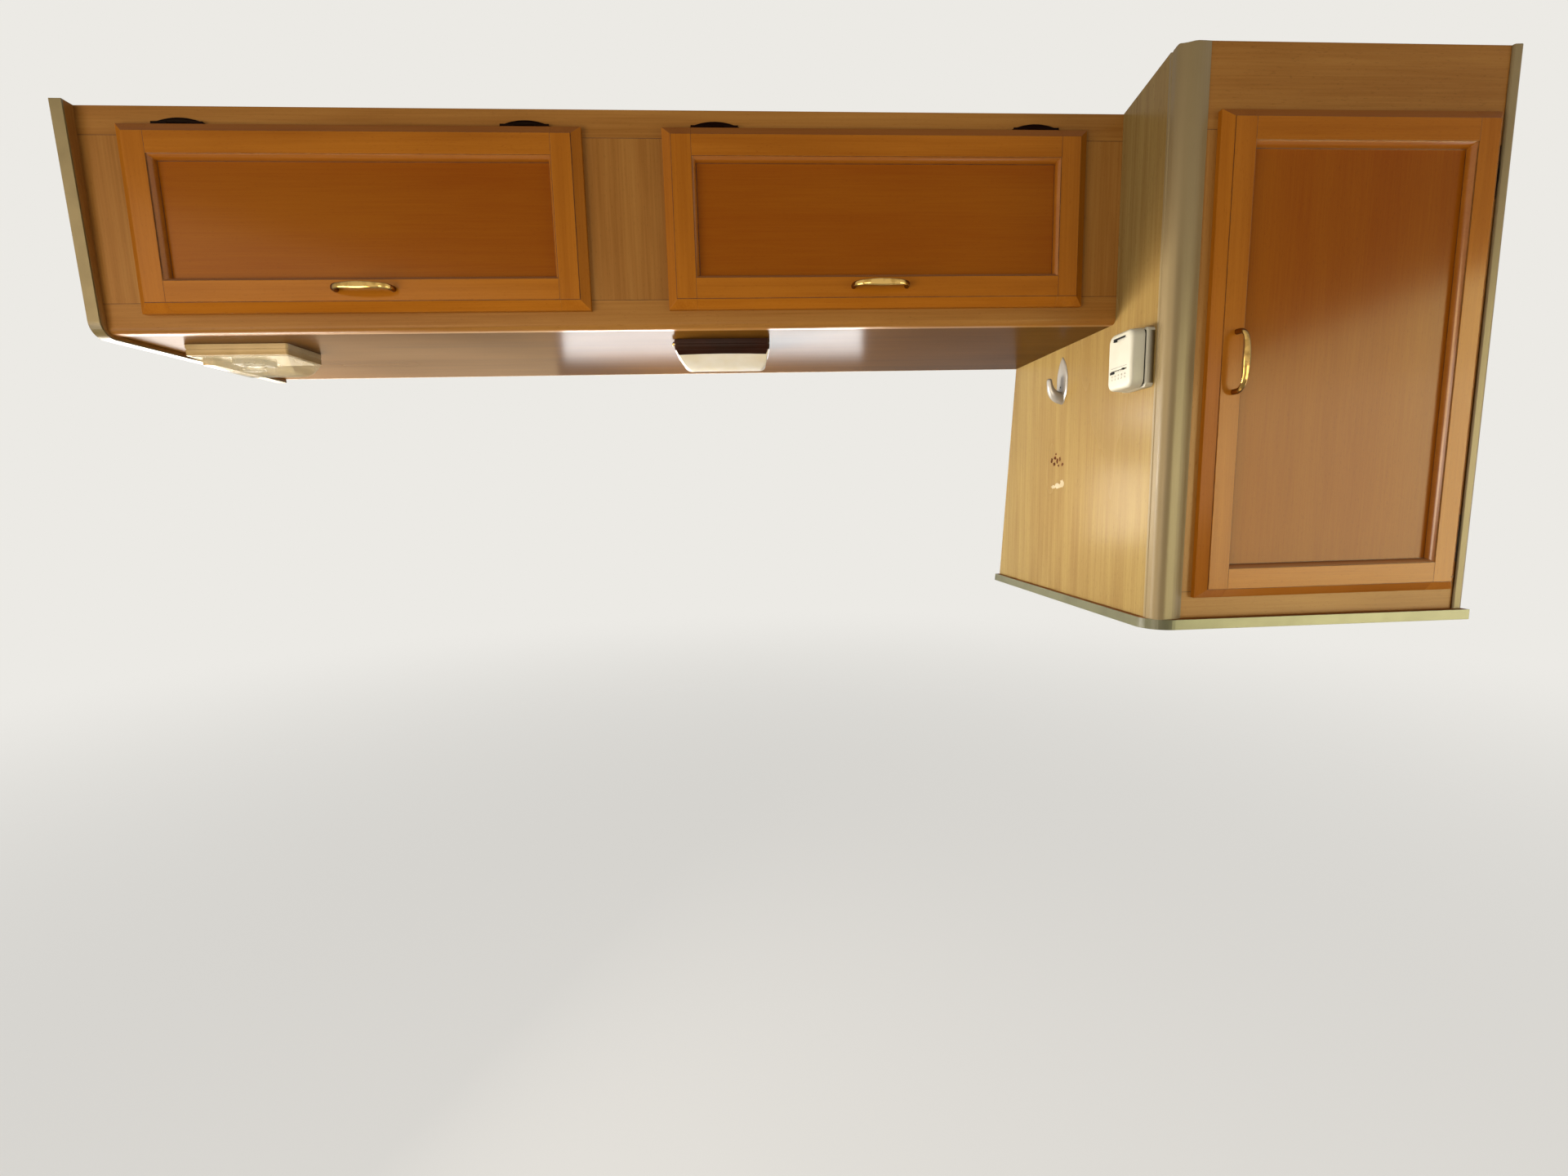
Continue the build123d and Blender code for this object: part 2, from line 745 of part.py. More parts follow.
# Thermostat on the cupboard's side: back plate with a smaller core, and the cover
stat_y = -442.5
stat_z = -346.5
stat_wide = 68.0
stat_high = 88.0
stat_plate = 12.0
stat_base = 15.0
stat_front = 35.0
with BuildPart() as thermostat_plate:
    with BuildSketch(Plane.YZ.offset(cup_left)):
        with Locations((stat_y, stat_z)):
            RectangleRounded(stat_wide, stat_high, 6)
    extrude(amount=-stat_plate)
    chamfer(thermostat_plate.edges().group_by(Axis.X)[0], 1.5)
    with BuildSketch(Plane.YZ.offset(cup_left - stat_plate)):
        with Locations((stat_y, stat_z)):
            Rectangle(stat_wide - 8, stat_high - 8)
    extrude(amount=stat_plate - stat_base)
save(thermostat_plate.part, "thermostat_plate")

with BuildPart() as thermostat_cover:
    with BuildSketch(Plane.YZ.offset(cup_left - stat_base)):
        with Locations((stat_y, stat_z)):
            RectangleRounded(stat_wide, stat_high, 6)
    extrude(amount=stat_base - stat_front)
    chamfer(thermostat_cover.edges().group_by(Axis.X)[0], 2.4)
    with BuildSketch(Plane.YZ.offset(cup_left - stat_front)):
        with Locations((stat_y + 3, stat_z + stat_high / 2 - 13)):
            SlotOverall(30, 3)
        with Locations((stat_y, stat_z - 14)):
            SlotOverall(44, 3)
    extrude(amount=3, mode=Mode.SUBTRACT)
save(thermostat_cover.part, "thermostat_cover")

with BuildPart() as thermostat_levers:
    with Locations((cup_left - stat_front, stat_y - 15, stat_z - 14)):
        Box(6, 4, 2.4)
    with Locations((cup_left - stat_front, stat_y + 10, stat_z + stat_high / 2 - 13)):
        Box(6, 5, 2.4)
save(thermostat_levers.part, "thermostat_levers")

# Coat hook: a pointed back plate and one broad prong that turns up to a rounded tip
hook_y = -182.0
hook_z = -335.0
hook_high = 88.0
hook_wide = 36.0
hook_plate = 4.5
hook_reach = 30.5
hook_bend = -22.0
hook_tip = 5.0
with BuildPart() as coat_hook:
    with BuildSketch(Plane.YZ.offset(cup_left)):
        with BuildLine():
            top_point = (hook_y, hook_z + hook_high / 2)
            low_point = (hook_y, hook_z - hook_high / 2)
            ThreePointArc(top_point, (hook_y - hook_wide / 2, hook_z), low_point)
            ThreePointArc(low_point, (hook_y + hook_wide / 2, hook_z), top_point)
        make_face()
    extrude(amount=-hook_plate)
    chamfer(coat_hook.edges().group_by(Axis.X)[0], 1.4)

with BuildPart() as hook_prong:
    with BuildSketch(Plane.XZ.offset(-hook_y)):
        with BuildLine():
            ThreePointArc(
                (cup_left - 1, hook_z - hook_high / 2),
                (cup_left - 22, hook_z - 27),
                (cup_left - hook_reach, hook_z - 4),
            )
            ThreePointArc(
                (cup_left - hook_reach, hook_z - 4),
                (cup_left - hook_reach + 1.6, hook_z + hook_tip),
                (cup_left - hook_reach + 6.2, hook_z - 2),
            )
            ThreePointArc(
                (cup_left - hook_reach + 6.2, hook_z - 2),
                (cup_left - 17.5, hook_z - 15),
                (cup_left - 3, hook_z + hook_bend),
            )
            Polyline(
                (cup_left - 3, hook_z + hook_bend),
                (cup_left - 1, hook_z + hook_bend),
                (cup_left - 1, hook_z - hook_high / 2),
            )
        make_face()
    extrude(amount=hook_wide / 2, both=True)
    with BuildSketch(Plane.YZ.offset(cup_left + 5)):
        with BuildLine():
            low_point = (hook_y, hook_z - hook_high / 2 - 0.6)
            ThreePointArc(low_point, (hook_y + 9.5, hook_z + hook_bend), (hook_y + 5, hook_z + 1))
            ThreePointArc(
                (hook_y + 5, hook_z + 1), (hook_y, hook_z + hook_tip + 0.5), (hook_y - 5, hook_z + 1)
            )
            ThreePointArc((hook_y - 5, hook_z + 1), (hook_y - 9.5, hook_z + hook_bend), low_point)
        make_face()
    extrude(amount=-60, mode=Mode.INTERSECT)

with BuildPart() as whole_hook:
    add(coat_hook.part)
    add(hook_prong.part)
save(whole_hook.part, "coat_hook")
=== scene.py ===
"""Looks of an overhead cabinet run: a two-door locker and a taller corner cupboard beside it."""

import json
import math

import bmesh
import bpy
import numpy as np
from mathutils import Matrix, Vector


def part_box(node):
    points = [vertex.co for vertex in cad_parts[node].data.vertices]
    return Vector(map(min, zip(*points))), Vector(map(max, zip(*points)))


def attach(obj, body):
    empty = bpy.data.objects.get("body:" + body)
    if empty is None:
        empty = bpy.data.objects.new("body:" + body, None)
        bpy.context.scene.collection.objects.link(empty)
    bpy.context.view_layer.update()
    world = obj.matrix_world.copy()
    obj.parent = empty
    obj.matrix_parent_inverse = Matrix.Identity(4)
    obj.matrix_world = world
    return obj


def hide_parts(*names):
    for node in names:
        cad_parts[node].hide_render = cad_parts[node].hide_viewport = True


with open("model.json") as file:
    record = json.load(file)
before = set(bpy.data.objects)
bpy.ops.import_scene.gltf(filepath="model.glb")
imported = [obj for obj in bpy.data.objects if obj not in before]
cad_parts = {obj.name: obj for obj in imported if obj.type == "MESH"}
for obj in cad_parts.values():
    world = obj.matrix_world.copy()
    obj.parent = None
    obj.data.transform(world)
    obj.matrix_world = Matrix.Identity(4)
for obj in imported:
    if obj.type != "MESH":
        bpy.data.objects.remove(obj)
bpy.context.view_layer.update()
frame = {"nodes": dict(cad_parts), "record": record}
nodes = frame["nodes"]

MM = 0.001
X, Y, Z = 0, 1, 2


def unit(vector):
    """The vector, or each row of an array of vectors, divided by its length."""
    vector = np.asarray(vector, dtype=float)
    return vector / np.linalg.norm(vector, axis=-1, keepdims=True)


def smooth_step(low, high, value):
    """0 below low, 1 above high, and 3t^2 - 2t^3 of the way t between them."""
    t = np.clip((np.asarray(value, dtype=float) - low) / (high - low), 0, 1)
    return t * t * (3 - 2 * t)


# Shader nodes and colours

def linear(tone):
    """An sRGB hex colour as linear red, green, blue and alpha."""
    channels = [int(tone[place:place + 2], 16) / 255 for place in (1, 3, 5)]
    return [c / 12.92 if c <= 0.04045 else ((c + 0.055) / 1.055) ** 2.4 for c in channels] + [1.0]


def add(tree, kind, sockets=None, **settings):
    """Adds one shader node with its settings; each socket gets a value or a link from another socket."""
    made = tree.nodes.new("ShaderNode" + kind)
    for name, value in settings.items():
        setattr(made, name, value)
    for name, value in (sockets or {}).items():
        if isinstance(value, bpy.types.NodeSocket):
            tree.links.new(value, made.inputs[name])
        else:
            made.inputs[name].default_value = value
    return made


def noise(tree, place, size, detail, **sockets):
    """Noise whose patches are about size millimetres wide."""
    sockets = {"Vector": place, "Scale": 1000 / size, "Detail": detail, **sockets}
    return add(tree, "TexNoise", sockets).outputs[0]


def ramp(tree, value, low=0.0, high=1.0, start=0.0, end=1.0, **settings):
    """From start where the value is low to end where it is high."""
    sockets = {"Value": value, "From Min": low, "From Max": high, "To Min": start, "To Max": end}
    return add(tree, "MapRange", sockets, **settings).outputs[0]


def times(tree, value, factor):
    """The product of two numbers."""
    return add(tree, "Math", {0: value, 1: factor}, operation="MULTIPLY").outputs[0]


def mix_values(tree, share, first, second):
    """A share of the second number over the first."""
    return add(tree, "Mix", {0: share, 2: first, 3: second}).outputs[0]


def mix_tones(tree, share, first, second, **settings):
    """A share of the second colour over the first; each is a socket or an sRGB hex colour."""
    first, second = (linear(tone) if isinstance(tone, str) else tone for tone in (first, second))
    return add(tree, "Mix", {0: share, 6: first, 7: second}, data_type="RGBA", **settings).outputs[2]


def blank(name):
    """A new material with its tree emptied, and the Object coordinates that its patterns read."""
    material = bpy.data.materials.new(name)
    material.use_nodes = True
    tree = material.node_tree
    tree.nodes.clear()
    return material, tree, add(tree, "TexCoord").outputs["Object"]


def outer_edges(tree, radius, grit, place):
    """0 on flat faces and up to 1 along outer edges of a radius, broken up by a noise, both in millimetres;
    and the rounded normal."""
    rounded = add(tree, "Bevel", {"Radius": radius * MM}, samples=4).outputs[0]
    flat = add(tree, "NewGeometry").outputs["Normal"]
    facing = add(tree, "VectorMath", {0: rounded, 1: flat}, operation="DOT_PRODUCT").outputs["Value"]
    broken = ramp(tree, noise(tree, place, grit, 3.0), 0.35, 0.7)
    return times(tree, ramp(tree, facing, 0.995, 0.8), broken), rounded


def shade(tree, colour, roughness, height, depth, normal=None, mirror=0.5, **fixed):
    """Principled surface: colour and roughness from sockets, bump from a height, with its depth in
    millimetres, and the mirror level and the rest fixed."""
    bump = add(tree, "Bump", {"Height": height, "Distance": depth * MM, "Strength": 1.0})
    if normal is not None:
        tree.links.new(normal, bump.inputs["Normal"])
    sockets = {
        "Base Color": colour, "Roughness": roughness, "Normal": bump.outputs[0], "Specular IOR Level": mirror,
    }
    sockets.update({name.replace("_", " "): value for name, value in fixed.items()})
    surface = add(tree, "BsdfPrincipled", sockets)
    add(tree, "OutputMaterial", {"Surface": surface.outputs[0]})


# Wood finishes
# Dull brown on faces that look upwards: dust, and painted shade
dust_and_shade_tone = "#6E3A0C"


def wood(name, grain, dark, light, edge_tone, band, streak, fleck, blotch, roughness, contrast=1.0, mirror=0.5):
    """Timber or its print, read along one axis: broad bands, fine streaks and short dark flecks. Faces that
    look upwards turn a dull brown, partly dust and partly painted shade; outer edges turn lighter, partly
    wear and partly a painted highlight.

    band, streak and fleck are widths across the grain, and blotch that of slow patches, in millimetres."""
    material, tree, place = blank(name)

    def drawn_out(squeeze):
        """Coordinates that a share squeezes along the grain, which draws the noise out that way."""
        scale = [1.0, 1.0, 1.0]
        scale[grain] = squeeze
        return add(tree, "Mapping", {"Vector": place, "Scale": scale}).outputs[0]

    lengthwise = drawn_out(0.02)
    bands = noise(tree, lengthwise, band, 1.5)
    streaks = noise(tree, lengthwise, streak, 4.0, Roughness=0.55)
    flecks = noise(tree, drawn_out(0.16), fleck, 2.0)
    patches = noise(tree, drawn_out(0.35), blotch, 3.0)
    tone = mix_values(tree, 0.3, mix_values(tree, 0.6, bands, patches), streaks)
    spread = 0.22 / contrast
    share = ramp(tree, tone, 0.5 - spread, 0.5 + spread, interpolation_type="SMOOTHSTEP")
    pore = ramp(tree, flecks, 0.62, 0.7, end=0.22 * contrast, interpolation_type="SMOOTHSTEP")
    marked = mix_tones(tree, pore, mix_tones(tree, share, dark, light), dark, blend_type="MULTIPLY")
    # Outer edges lighten to the edge tone: partly wear, partly a painted highlight along the ridges
    edge, rounded = outer_edges(tree, 0.9, 9, place)
    rubbed = mix_tones(tree, times(tree, edge, 0.65), marked, edge_tone)
    # Painted shade, with dust: faces that look upwards darken towards a dull brown and lose their gloss
    upward = add(tree, "SeparateXYZ", {0: add(tree, "TexCoord").outputs["Normal"]}).outputs[2]
    dust_and_shade = ramp(tree, upward, 0.1, 0.7, end=0.6)
    colour = mix_tones(tree, dust_and_shade, rubbed, dust_and_shade_tone)
    film = ramp(tree, patches, start=roughness + 0.06, end=roughness - 0.06)
    gloss = mix_values(tree, dust_and_shade, film, 0.9)
    height = mix_values(tree, 0.5, streaks, noise(tree, place, 3.5, 1.0))
    shade(tree, colour, gloss, height, 0.02, rounded, mirror)
    return material


# Beech-print laminate on board: straight, quiet grain under a satin film with soft highlights
laminate = {
    "dark": "#7F501E", "light": "#9F7036", "edge_tone": "#BB9358", "streak": 3.2, "fleck": 1.3, "blotch": 150,
    "roughness": 0.3, "mirror": 0.07,
}
laminate_across = wood("beech laminate, grain across", X, band=26, **laminate)
laminate_upright = wood("beech laminate, grain upright", Z, band=24, **laminate)

# The same print on the boards that are seen at a glancing angle, where its film is smoother
laminate_side = wood(
    "beech laminate, glancing side", Z, "#785B30", "#97804C", "#B7925A", band=18, streak=3.6, fleck=1.6,
    blotch=240, roughness=0.26, contrast=0.9, mirror=0.06,
)
# The same print on the locker's underside, in darker tones that paint the shade it lies in, under a smoother
# film
laminate_under_shaded = wood(
    "beech laminate, underside in painted shade", X, "#4E300C", "#603E12", "#8A6234", band=26, streak=3.2, fleck=1.3,
    blotch=150, roughness=0.25, mirror=0.006,
)

# Solid door timber, sprayed with tinted lacquer: warm golden brown with a deeper gloss than the frame
door_timber = {
    "dark": "#8B4E0A", "light": "#A8671A", "edge_tone": "#BE8A44", "band": 19, "streak": 2.6, "fleck": 1.1,
    "blotch": 120, "roughness": 0.17, "contrast": 0.85, "mirror": 0.07,
}
door_across = wood("lacquered door timber, grain across", X, **door_timber)
door_upright = wood("lacquered door timber, grain upright", Z, **door_timber)

# The beads of the doors' mouldings, where the lacquer has pooled and shines more
bead_wood = wood(
    "lacquered door timber, mouldings", X, "#8B4E0E", "#A5661E", "#C39450", band=19, streak=2.6, fleck=1.1,
    blotch=120, roughness=0.15, contrast=0.7, mirror=0.4,
)

# Veneered panel inside each door, stained redder and darker, with almost no figure
panel_veneer = {
    "dark": "#7E3D01", "light": "#8F5209", "edge_tone": "#9F6424", "band": 60, "streak": 2.0, "fleck": 1.0,
    "blotch": 170, "roughness": 0.17, "contrast": 0.7, "mirror": 0.06,
}
panel_across = wood("stained veneer panel, grain across", X, **panel_veneer)
panel_upright = wood("stained veneer panel, grain upright", Z, **panel_veneer)

# Thin bare plywood and softwood behind the cupboard, sawn and never finished: pale, dry and coarse
bare_wood = wood(
    "bare plywood and softwood", X, "#A98556", "#CDAE7E", "#D9C197", band=16, streak=2.8, fleck=1.6,
    blotch=120, roughness=0.68,
)


# Material of the dark lines: dirt and old polish, and painted shade in the quirks and creases
def dirt(name, dark, light):
    """Two browns in patches 12 mm wide, duller where they are pale."""
    material, tree, place = blank(name)
    patches = noise(tree, place, 12, 3.0)
    colour = mix_tones(tree, ramp(tree, patches, 0.35, 0.65), dark, light)
    shade(tree, colour, ramp(tree, patches, start=0.5, end=0.75), patches, 0.02, mirror=0.2)
    return material


# Dirt and old polish in the quirks and joints of the timber; in the quirks, at the panels' edges and at the
# foot of the rims' steps it is also painted shade
quirk_dirt_and_shade = dirt("dirt, old polish and painted shade in the quirks", "#3A1D08", "#5C3210")


# Plastics and metals

def moulded(name, base, other_tone, edge_tone, roughness, grit, depth, mirror=0.5):
    """Plastic or paint: two close tones in slow patches, rubbed edges, and a fine grit whose width and depth
    are in millimetres."""
    material, tree, place = blank(name)
    patches = noise(tree, place, 45, 3.0)
    ground = mix_tones(tree, ramp(tree, patches, 0.4, 0.66), base, other_tone)
    edge, rounded = outer_edges(tree, 0.6, 6, place)
    colour = mix_tones(tree, times(tree, edge, 0.5), ground, edge_tone)
    gloss = ramp(tree, patches, start=roughness - 0.06, end=roughness + 0.06)
    shade(tree, colour, gloss, noise(tree, place, grit, 2.0), depth, rounded, mirror)
    return material


# Extruded PVC edge strip, satin and slightly yellowed; the one round the cupboard's base board is greyer,
# and darkened as painted shade
edge_strip = moulded("olive PVC edge strip", "#776842", "#6B5D39", "#9B8C64", 0.34, 1.2, 0.01, mirror=0.3)
base_strip_shaded = moulded(
    "grey-green PVC edge strip, in painted shade", "#615F44", "#58563C", "#8C8866", 0.34, 1.2, 0.01, mirror=0.3,
)

# Lens hinge leaves under black-bronze lacquer, glossy with small rubbed edges
hinge_lacquer = moulded(
    "black lacquered steel", "#160602", "#0E0401", "#2A170A", 0.22, 1.5, 0.004, mirror=0.01,
)

# Aged ivory ABS of the left lamp's base, and dark brown ABS of the right one's
lamp_ivory = moulded("aged ivory ABS", "#A98D5A", "#9A7F4B", "#C4B084", 0.36, 0.9, 0.012)
lamp_brown = moulded("dark brown ABS", "#2C1004", "#220C02", "#4C2C1C", 0.32, 0.9, 0.012, mirror=0.14)

# Ivory ABS of the thermostat, spark-textured by its mould
stat_ivory = moulded("ivory ABS", "#B8B3A0", "#AFAA95", "#CCC8B9", 0.4, 0.7, 0.012, mirror=0.3)

# Black ABS of the levers and the slot, and the black print
black_plastic = moulded("black ABS", "#0E0D0B", "#161411", "#2C2925", 0.5, 0.8, 0.01, mirror=0.08)

# Satin painted zinc of the coat hook, pinkish grey
hook_paint = moulded("satin painted zinc", "#8F887D", "#80796E", "#C2BDB2", 0.2, 2.5, 0.012, mirror=0.8)

# Grey steel of the bulb holders, and the grey print
holder_grey = moulded("grey zinc-plated steel", "#6E6B64", "#5C5952", "#8D8A83", 0.4, 1.6, 0.01)


def extrusion(name, base, other_tone, line, roughness):
    """Upright extruded trim: die lines run along it, so tone and bump vary across and not along."""
    material, tree, place = blank(name)
    die = add(tree, "Mapping", {"Vector": place, "Scale": (1.0, 1.0, 0.004)}).outputs[0]
    lines = noise(tree, die, 3.0, 3.0)
    tone = mix_values(tree, 0.88, lines, noise(tree, place, 160, 2.0))
    ground = mix_tones(tree, ramp(tree, tone, 0.2, 0.8), other_tone, base)
    edge, rounded = outer_edges(tree, 0.7, 12, place)
    colour = mix_tones(tree, times(tree, edge, 0.6), ground, line)
    gloss = ramp(tree, lines, start=roughness - 0.02, end=roughness + 0.02)
    shade(tree, colour, gloss, lines, 0.001, rounded, mirror=0.12)
    return material


# Corner post and end trim: extruded PVC in grey olive with a silky sheen
trim_plastic = extrusion("grey-olive extruded PVC", "#887654", "#7E6D4C", "#B0A27E", 0.36)


def polished(name, base, dull, away, roughness):
    """Plated or polished metal: rub marks open the highlights, and a painted shade deepens it where it turns
    away from the view.
    """
    material, tree, place = blank(name)
    face = mix_tones(tree, ramp(tree, noise(tree, place, 9, 3.0), 0.45, 0.75), base, dull)
    shade_where_turned_away = add(tree, "LayerWeight", {"Blend": 0.5}).outputs["Facing"]
    # Painted shade: the colour darkens to the away tone where the surface turns away from the view
    colour = mix_tones(tree, ramp(tree, shade_where_turned_away, 0.1, 0.75), face, away)
    rubs = noise(tree, place, 1.4, 4.0)
    gloss = ramp(tree, rubs, start=roughness * 0.6, end=roughness * 1.6)
    shade(tree, colour, gloss, rubs, 0.004, Metallic=1.0)
    return material


# Polished and lacquered brass of the pulls and the lamps' buttons
brass = polished("polished brass", "#D9B066", "#A87C34", "#3A2208", 0.1)

# Nickel-plated screws and bulb caps
nickel = polished("nickel-plated steel", "#C9C4BA", "#A8A297", "#6E6A62", 0.26)


def milky(name, clear, deep, **fixed):
    """Lamp lens or bulb: faint ripples, yellowed in slow patches."""
    material, tree, place = blank(name)
    patches = noise(tree, place, 38, 2.0)
    colour = mix_tones(tree, ramp(tree, patches, 0.38, 0.64), clear, deep)
    gloss = ramp(tree, patches, start=0.2, end=0.3)
    shade(tree, colour, gloss, noise(tree, place, 14, 0.0), 0.01, **fixed)
    return material


# Opal acrylic of the right lamp's lens: dense and cream, with light going in a few millimetres
lens_acrylic = milky(
    "opal acrylic", "#F1E7D3", "#E9DCC2", mirror=0.12, Subsurface_Weight=0.35,
    Subsurface_Radius=(1.0, 0.85, 0.6), Subsurface_Scale=0.006,
)

# Thinner acrylic of the left lamp's lens: the switch housing and the bulb holder show through it
lens_clear = milky("thin cream acrylic", "#EDE2C2", "#DFD2A8", mirror=0.25, Alpha=0.34)

# Cream sheet of the reflector behind each lens
reflector_cream = moulded("cream enamelled steel", "#EFE4C8", "#E6DAB9", "#F5EEDC", 0.35, 1.4, 0.006)

# Bare paper core and glue where the laminate has chipped
chip_pale = moulded("chipped laminate core", "#AFA184", "#A08F6C", "#BDB092", 0.7, 1.0, 0.02, mirror=0.1)

# Old brown glue left where something was stuck on and pulled off
chip_brown = moulded("old brown glue", "#3E1A06", "#55280C", "#6E431E", 0.7, 1.4, 0.03, mirror=0.02)

# Clear bulb glass, frosted thin
bulb_glass = milky("frosted bulb glass", "#F2EEE2", "#E6E0CE", Transmission_Weight=0.7)


# Meshes

def quads(rows, columns):
    """Corner numbers of the quads between neighbouring rows of points, where each row is a closed loop."""
    row = np.arange(rows - 1)[:, None] * columns
    column = np.arange(columns)[None, :]
    following = (column + 1) % columns
    corners = (row + column, row + following, row + columns + following, row + columns + column)
    return np.stack(corners, axis=-1).reshape(-1, 4)


def points_at(x, y, z):
    """Points from three arrays of coordinates, each stretched to the shape that they share."""
    return np.stack(np.broadcast_arrays(x, y, z), axis=-1)


def closed_grid(points):
    """Points and faces of a grid whose rows are closed loops."""
    return points.reshape(-1, 3), quads(*points.shape[:2])


def capped(points):
    """The grid with one more row at each end, all at the middle of the end's loop, to close it."""
    ends = np.repeat(points[[0, -1]].mean(axis=1, keepdims=True), points.shape[1], axis=1)
    return np.concatenate([ends[:1], points, ends[1:]])


def stack(parts):
    """Points and faces of several grids as one mesh: each grid's corner numbers start after the last."""
    starts = np.cumsum([0] + [len(points) for points, _ in parts[:-1]])
    points = np.concatenate([points for points, _ in parts])
    return points, np.concatenate([faces + start for start, (_, faces) in zip(starts, parts)])


def mesh_of(name, points, faces):
    """A mesh of rows of points and rows of corner numbers."""
    mesh = bpy.data.meshes.new(name)
    mesh.from_pydata(points.tolist(), [], faces.tolist())
    return mesh


def placed(name, data):
    """A new object that shows a mesh, a curve, a light or a camera in the scene."""
    made = bpy.data.objects.new(name, data)
    bpy.context.scene.collection.objects.link(made)
    return made


def positions(mesh):
    """The points of a mesh, one to a row."""
    flat = np.empty(len(mesh.vertices) * 3)
    mesh.vertices.foreach_get("co", flat)
    return flat.reshape(-1, 3)


def smooth_up_to(mesh, crease, outwards):
    """Joins doubles, turns the faces outwards where asked to, and smooths up to a crease in degrees."""
    tidy = bmesh.new()
    tidy.from_mesh(mesh)
    bmesh.ops.remove_doubles(tidy, verts=tidy.verts, dist=0.002 * MM)
    if outwards:
        bmesh.ops.recalc_face_normals(tidy, faces=tidy.faces)
    tidy.to_mesh(mesh)
    tidy.free()
    mesh.shade_smooth()
    mesh.set_sharp_from_angle(angle=math.radians(crease))


def piece(name, grid, material, body, crease=40.0):
    """Object of a grid's points and faces, which rides on a body."""
    mesh = mesh_of(name, *grid)
    smooth_up_to(mesh, crease, outwards=True)
    mesh.materials.append(material)
    made = placed(name, mesh)
    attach(made, body)
    return made


def along_path(path, across, sections):
    """A section carried along a path: point = path + width * across + height * (tangent x across).

    path is rows of points, across one direction at right angles to it, and sections one loop of
    (width, height) pairs for each row."""
    across = np.asarray(across, dtype=float)
    rise = unit(np.cross(unit(np.gradient(path, axis=0)), across))
    return closed_grid(capped(path[:, None] + sections[..., :1] * across + sections[..., 1:] * rise[:, None]))


def full_turn(count):
    """Angles of count equal steps round a circle."""
    return np.linspace(0, 2 * math.pi, count, endpoint=False)


def oval_loop(half_wide, half_thick, power, count):
    """Superellipses |w / half_wide|^power + |h / half_thick|^power = 1, one loop for each row of sizes."""
    turn = full_turn(count)
    wide = np.sign(np.cos(turn)) * np.abs(np.cos(turn)) ** (2 / power)
    high = np.sign(np.sin(turn)) * np.abs(np.sin(turn)) ** (2 / power)
    return np.stack((np.outer(half_wide, wide), np.outer(half_thick, high)), axis=-1)


def rounded_rings(half_wide, half_high, corner, per_corner=9):
    """Rings of rounded rectangles, one for each row of sizes: a quarter circle on each corner's centre."""
    quarter = np.linspace(0, math.pi / 2, per_corner)
    turn = np.concatenate([quarter + k * math.pi / 2 for k in range(4)])
    side_w = np.repeat([1, -1, -1, 1], per_corner)
    side_h = np.repeat([1, 1, -1, -1], per_corner)
    half_wide, half_high, corner = (np.asarray(v)[:, None] for v in (half_wide, half_high, corner))
    corner = np.minimum(corner, np.minimum(half_wide, half_high))
    wide = side_w * (half_wide - corner) + corner * np.cos(turn)
    high = side_h * (half_high - corner) + corner * np.sin(turn)
    return np.stack((wide, high), axis=-1)


def square_to(axis):
    """Three unit vectors at right angles, the first along an axis."""
    axis = unit(axis)
    first = unit(np.cross(axis, (0.31, 0.95, 0.11)))
    return axis, first, np.cross(axis, first)


def turned(profile, centre, axis, spin=28):
    """Solid of revolution: each (place along the axis, radius) of a profile in millimetres makes a ring."""
    axis, first, second = square_to(axis)
    turn = full_turn(spin)
    ring = np.cos(turn)[:, None] * first + np.sin(turn)[:, None] * second
    along, radius = (np.array(profile).T * MM)[..., None, None]
    return closed_grid(np.array(centre) + along * axis + radius * ring)


# Materials on the CAD nodes
frame_slots = {part["node"]: part["material_slot"] for part in frame["record"]["subparts"]}
finishes = {
    "ply": bare_wood, "edging": edge_strip, "trim": trim_plastic, "brass": brass, "hinge": hinge_lacquer,
    "lamp_base": lamp_ivory, "lamp_base_dark": lamp_brown, "lens": lens_acrylic, "switch": brass,
    "thermostat": stat_ivory, "lever": black_plastic, "hook": hook_paint,
}
own_finish = {
    "locker_floor": laminate_under_shaded, "cupboard_side_left": laminate_side, "cupboard_base_edging": base_strip_shaded,
}
upright_words = ("stile", "side", "end_panel", "divider")


def finish_of(name):
    """Finish of a node: by its slot, and for wood also by the way its grain runs."""
    slot = frame_slots[name]
    upright = any(word in name for word in upright_words)
    if name in own_finish:
        return own_finish[name]
    if slot == "laminate":
        return laminate_upright if upright else laminate_across
    if slot == "door_wood":
        return door_upright if upright else door_across
    if slot == "door_panel":
        return panel_upright if name.startswith("cupboard") else panel_across
    return finishes[slot]


# Front faces of the two face frames
locker_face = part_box("locker_stile_left")[0].y
cupboard_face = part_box("cupboard_stile_left")[0].y


def joined_copy(name, body, reshape=None):
    """The CAD node's own surface, joined so that its curves shade smoothly; reshape moves its points."""
    mesh = nodes[name].data.copy()
    if reshape:
        mesh.vertices.foreach_set("co", reshape(positions(mesh)).ravel())
    smooth_up_to(mesh, 30.0, outwards=False)
    made = placed(name + "_smooth", mesh)
    made.modifiers.new("even shading", "WEIGHTED_NORMAL").keep_sharp = True
    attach(made, body)
    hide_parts(name)
    return made


def slim_barrel(first, second, centre):
    """Draws the points of a hinge barrel in to 0.6 of their distance from its axis, which passes through
    centre at right angles to the first and second axes."""
    barrel_reach = 2.6 * MM

    def reshape(points):
        """Moves the rows of points that lie near the axis."""
        away = points[:, (first, second)] - np.array(centre)
        near = (np.linalg.norm(away, axis=1) < barrel_reach)[:, None]
        points[:, (first, second)] = np.where(near, 0.6 * away, away) + np.array(centre)
        return points
    return reshape


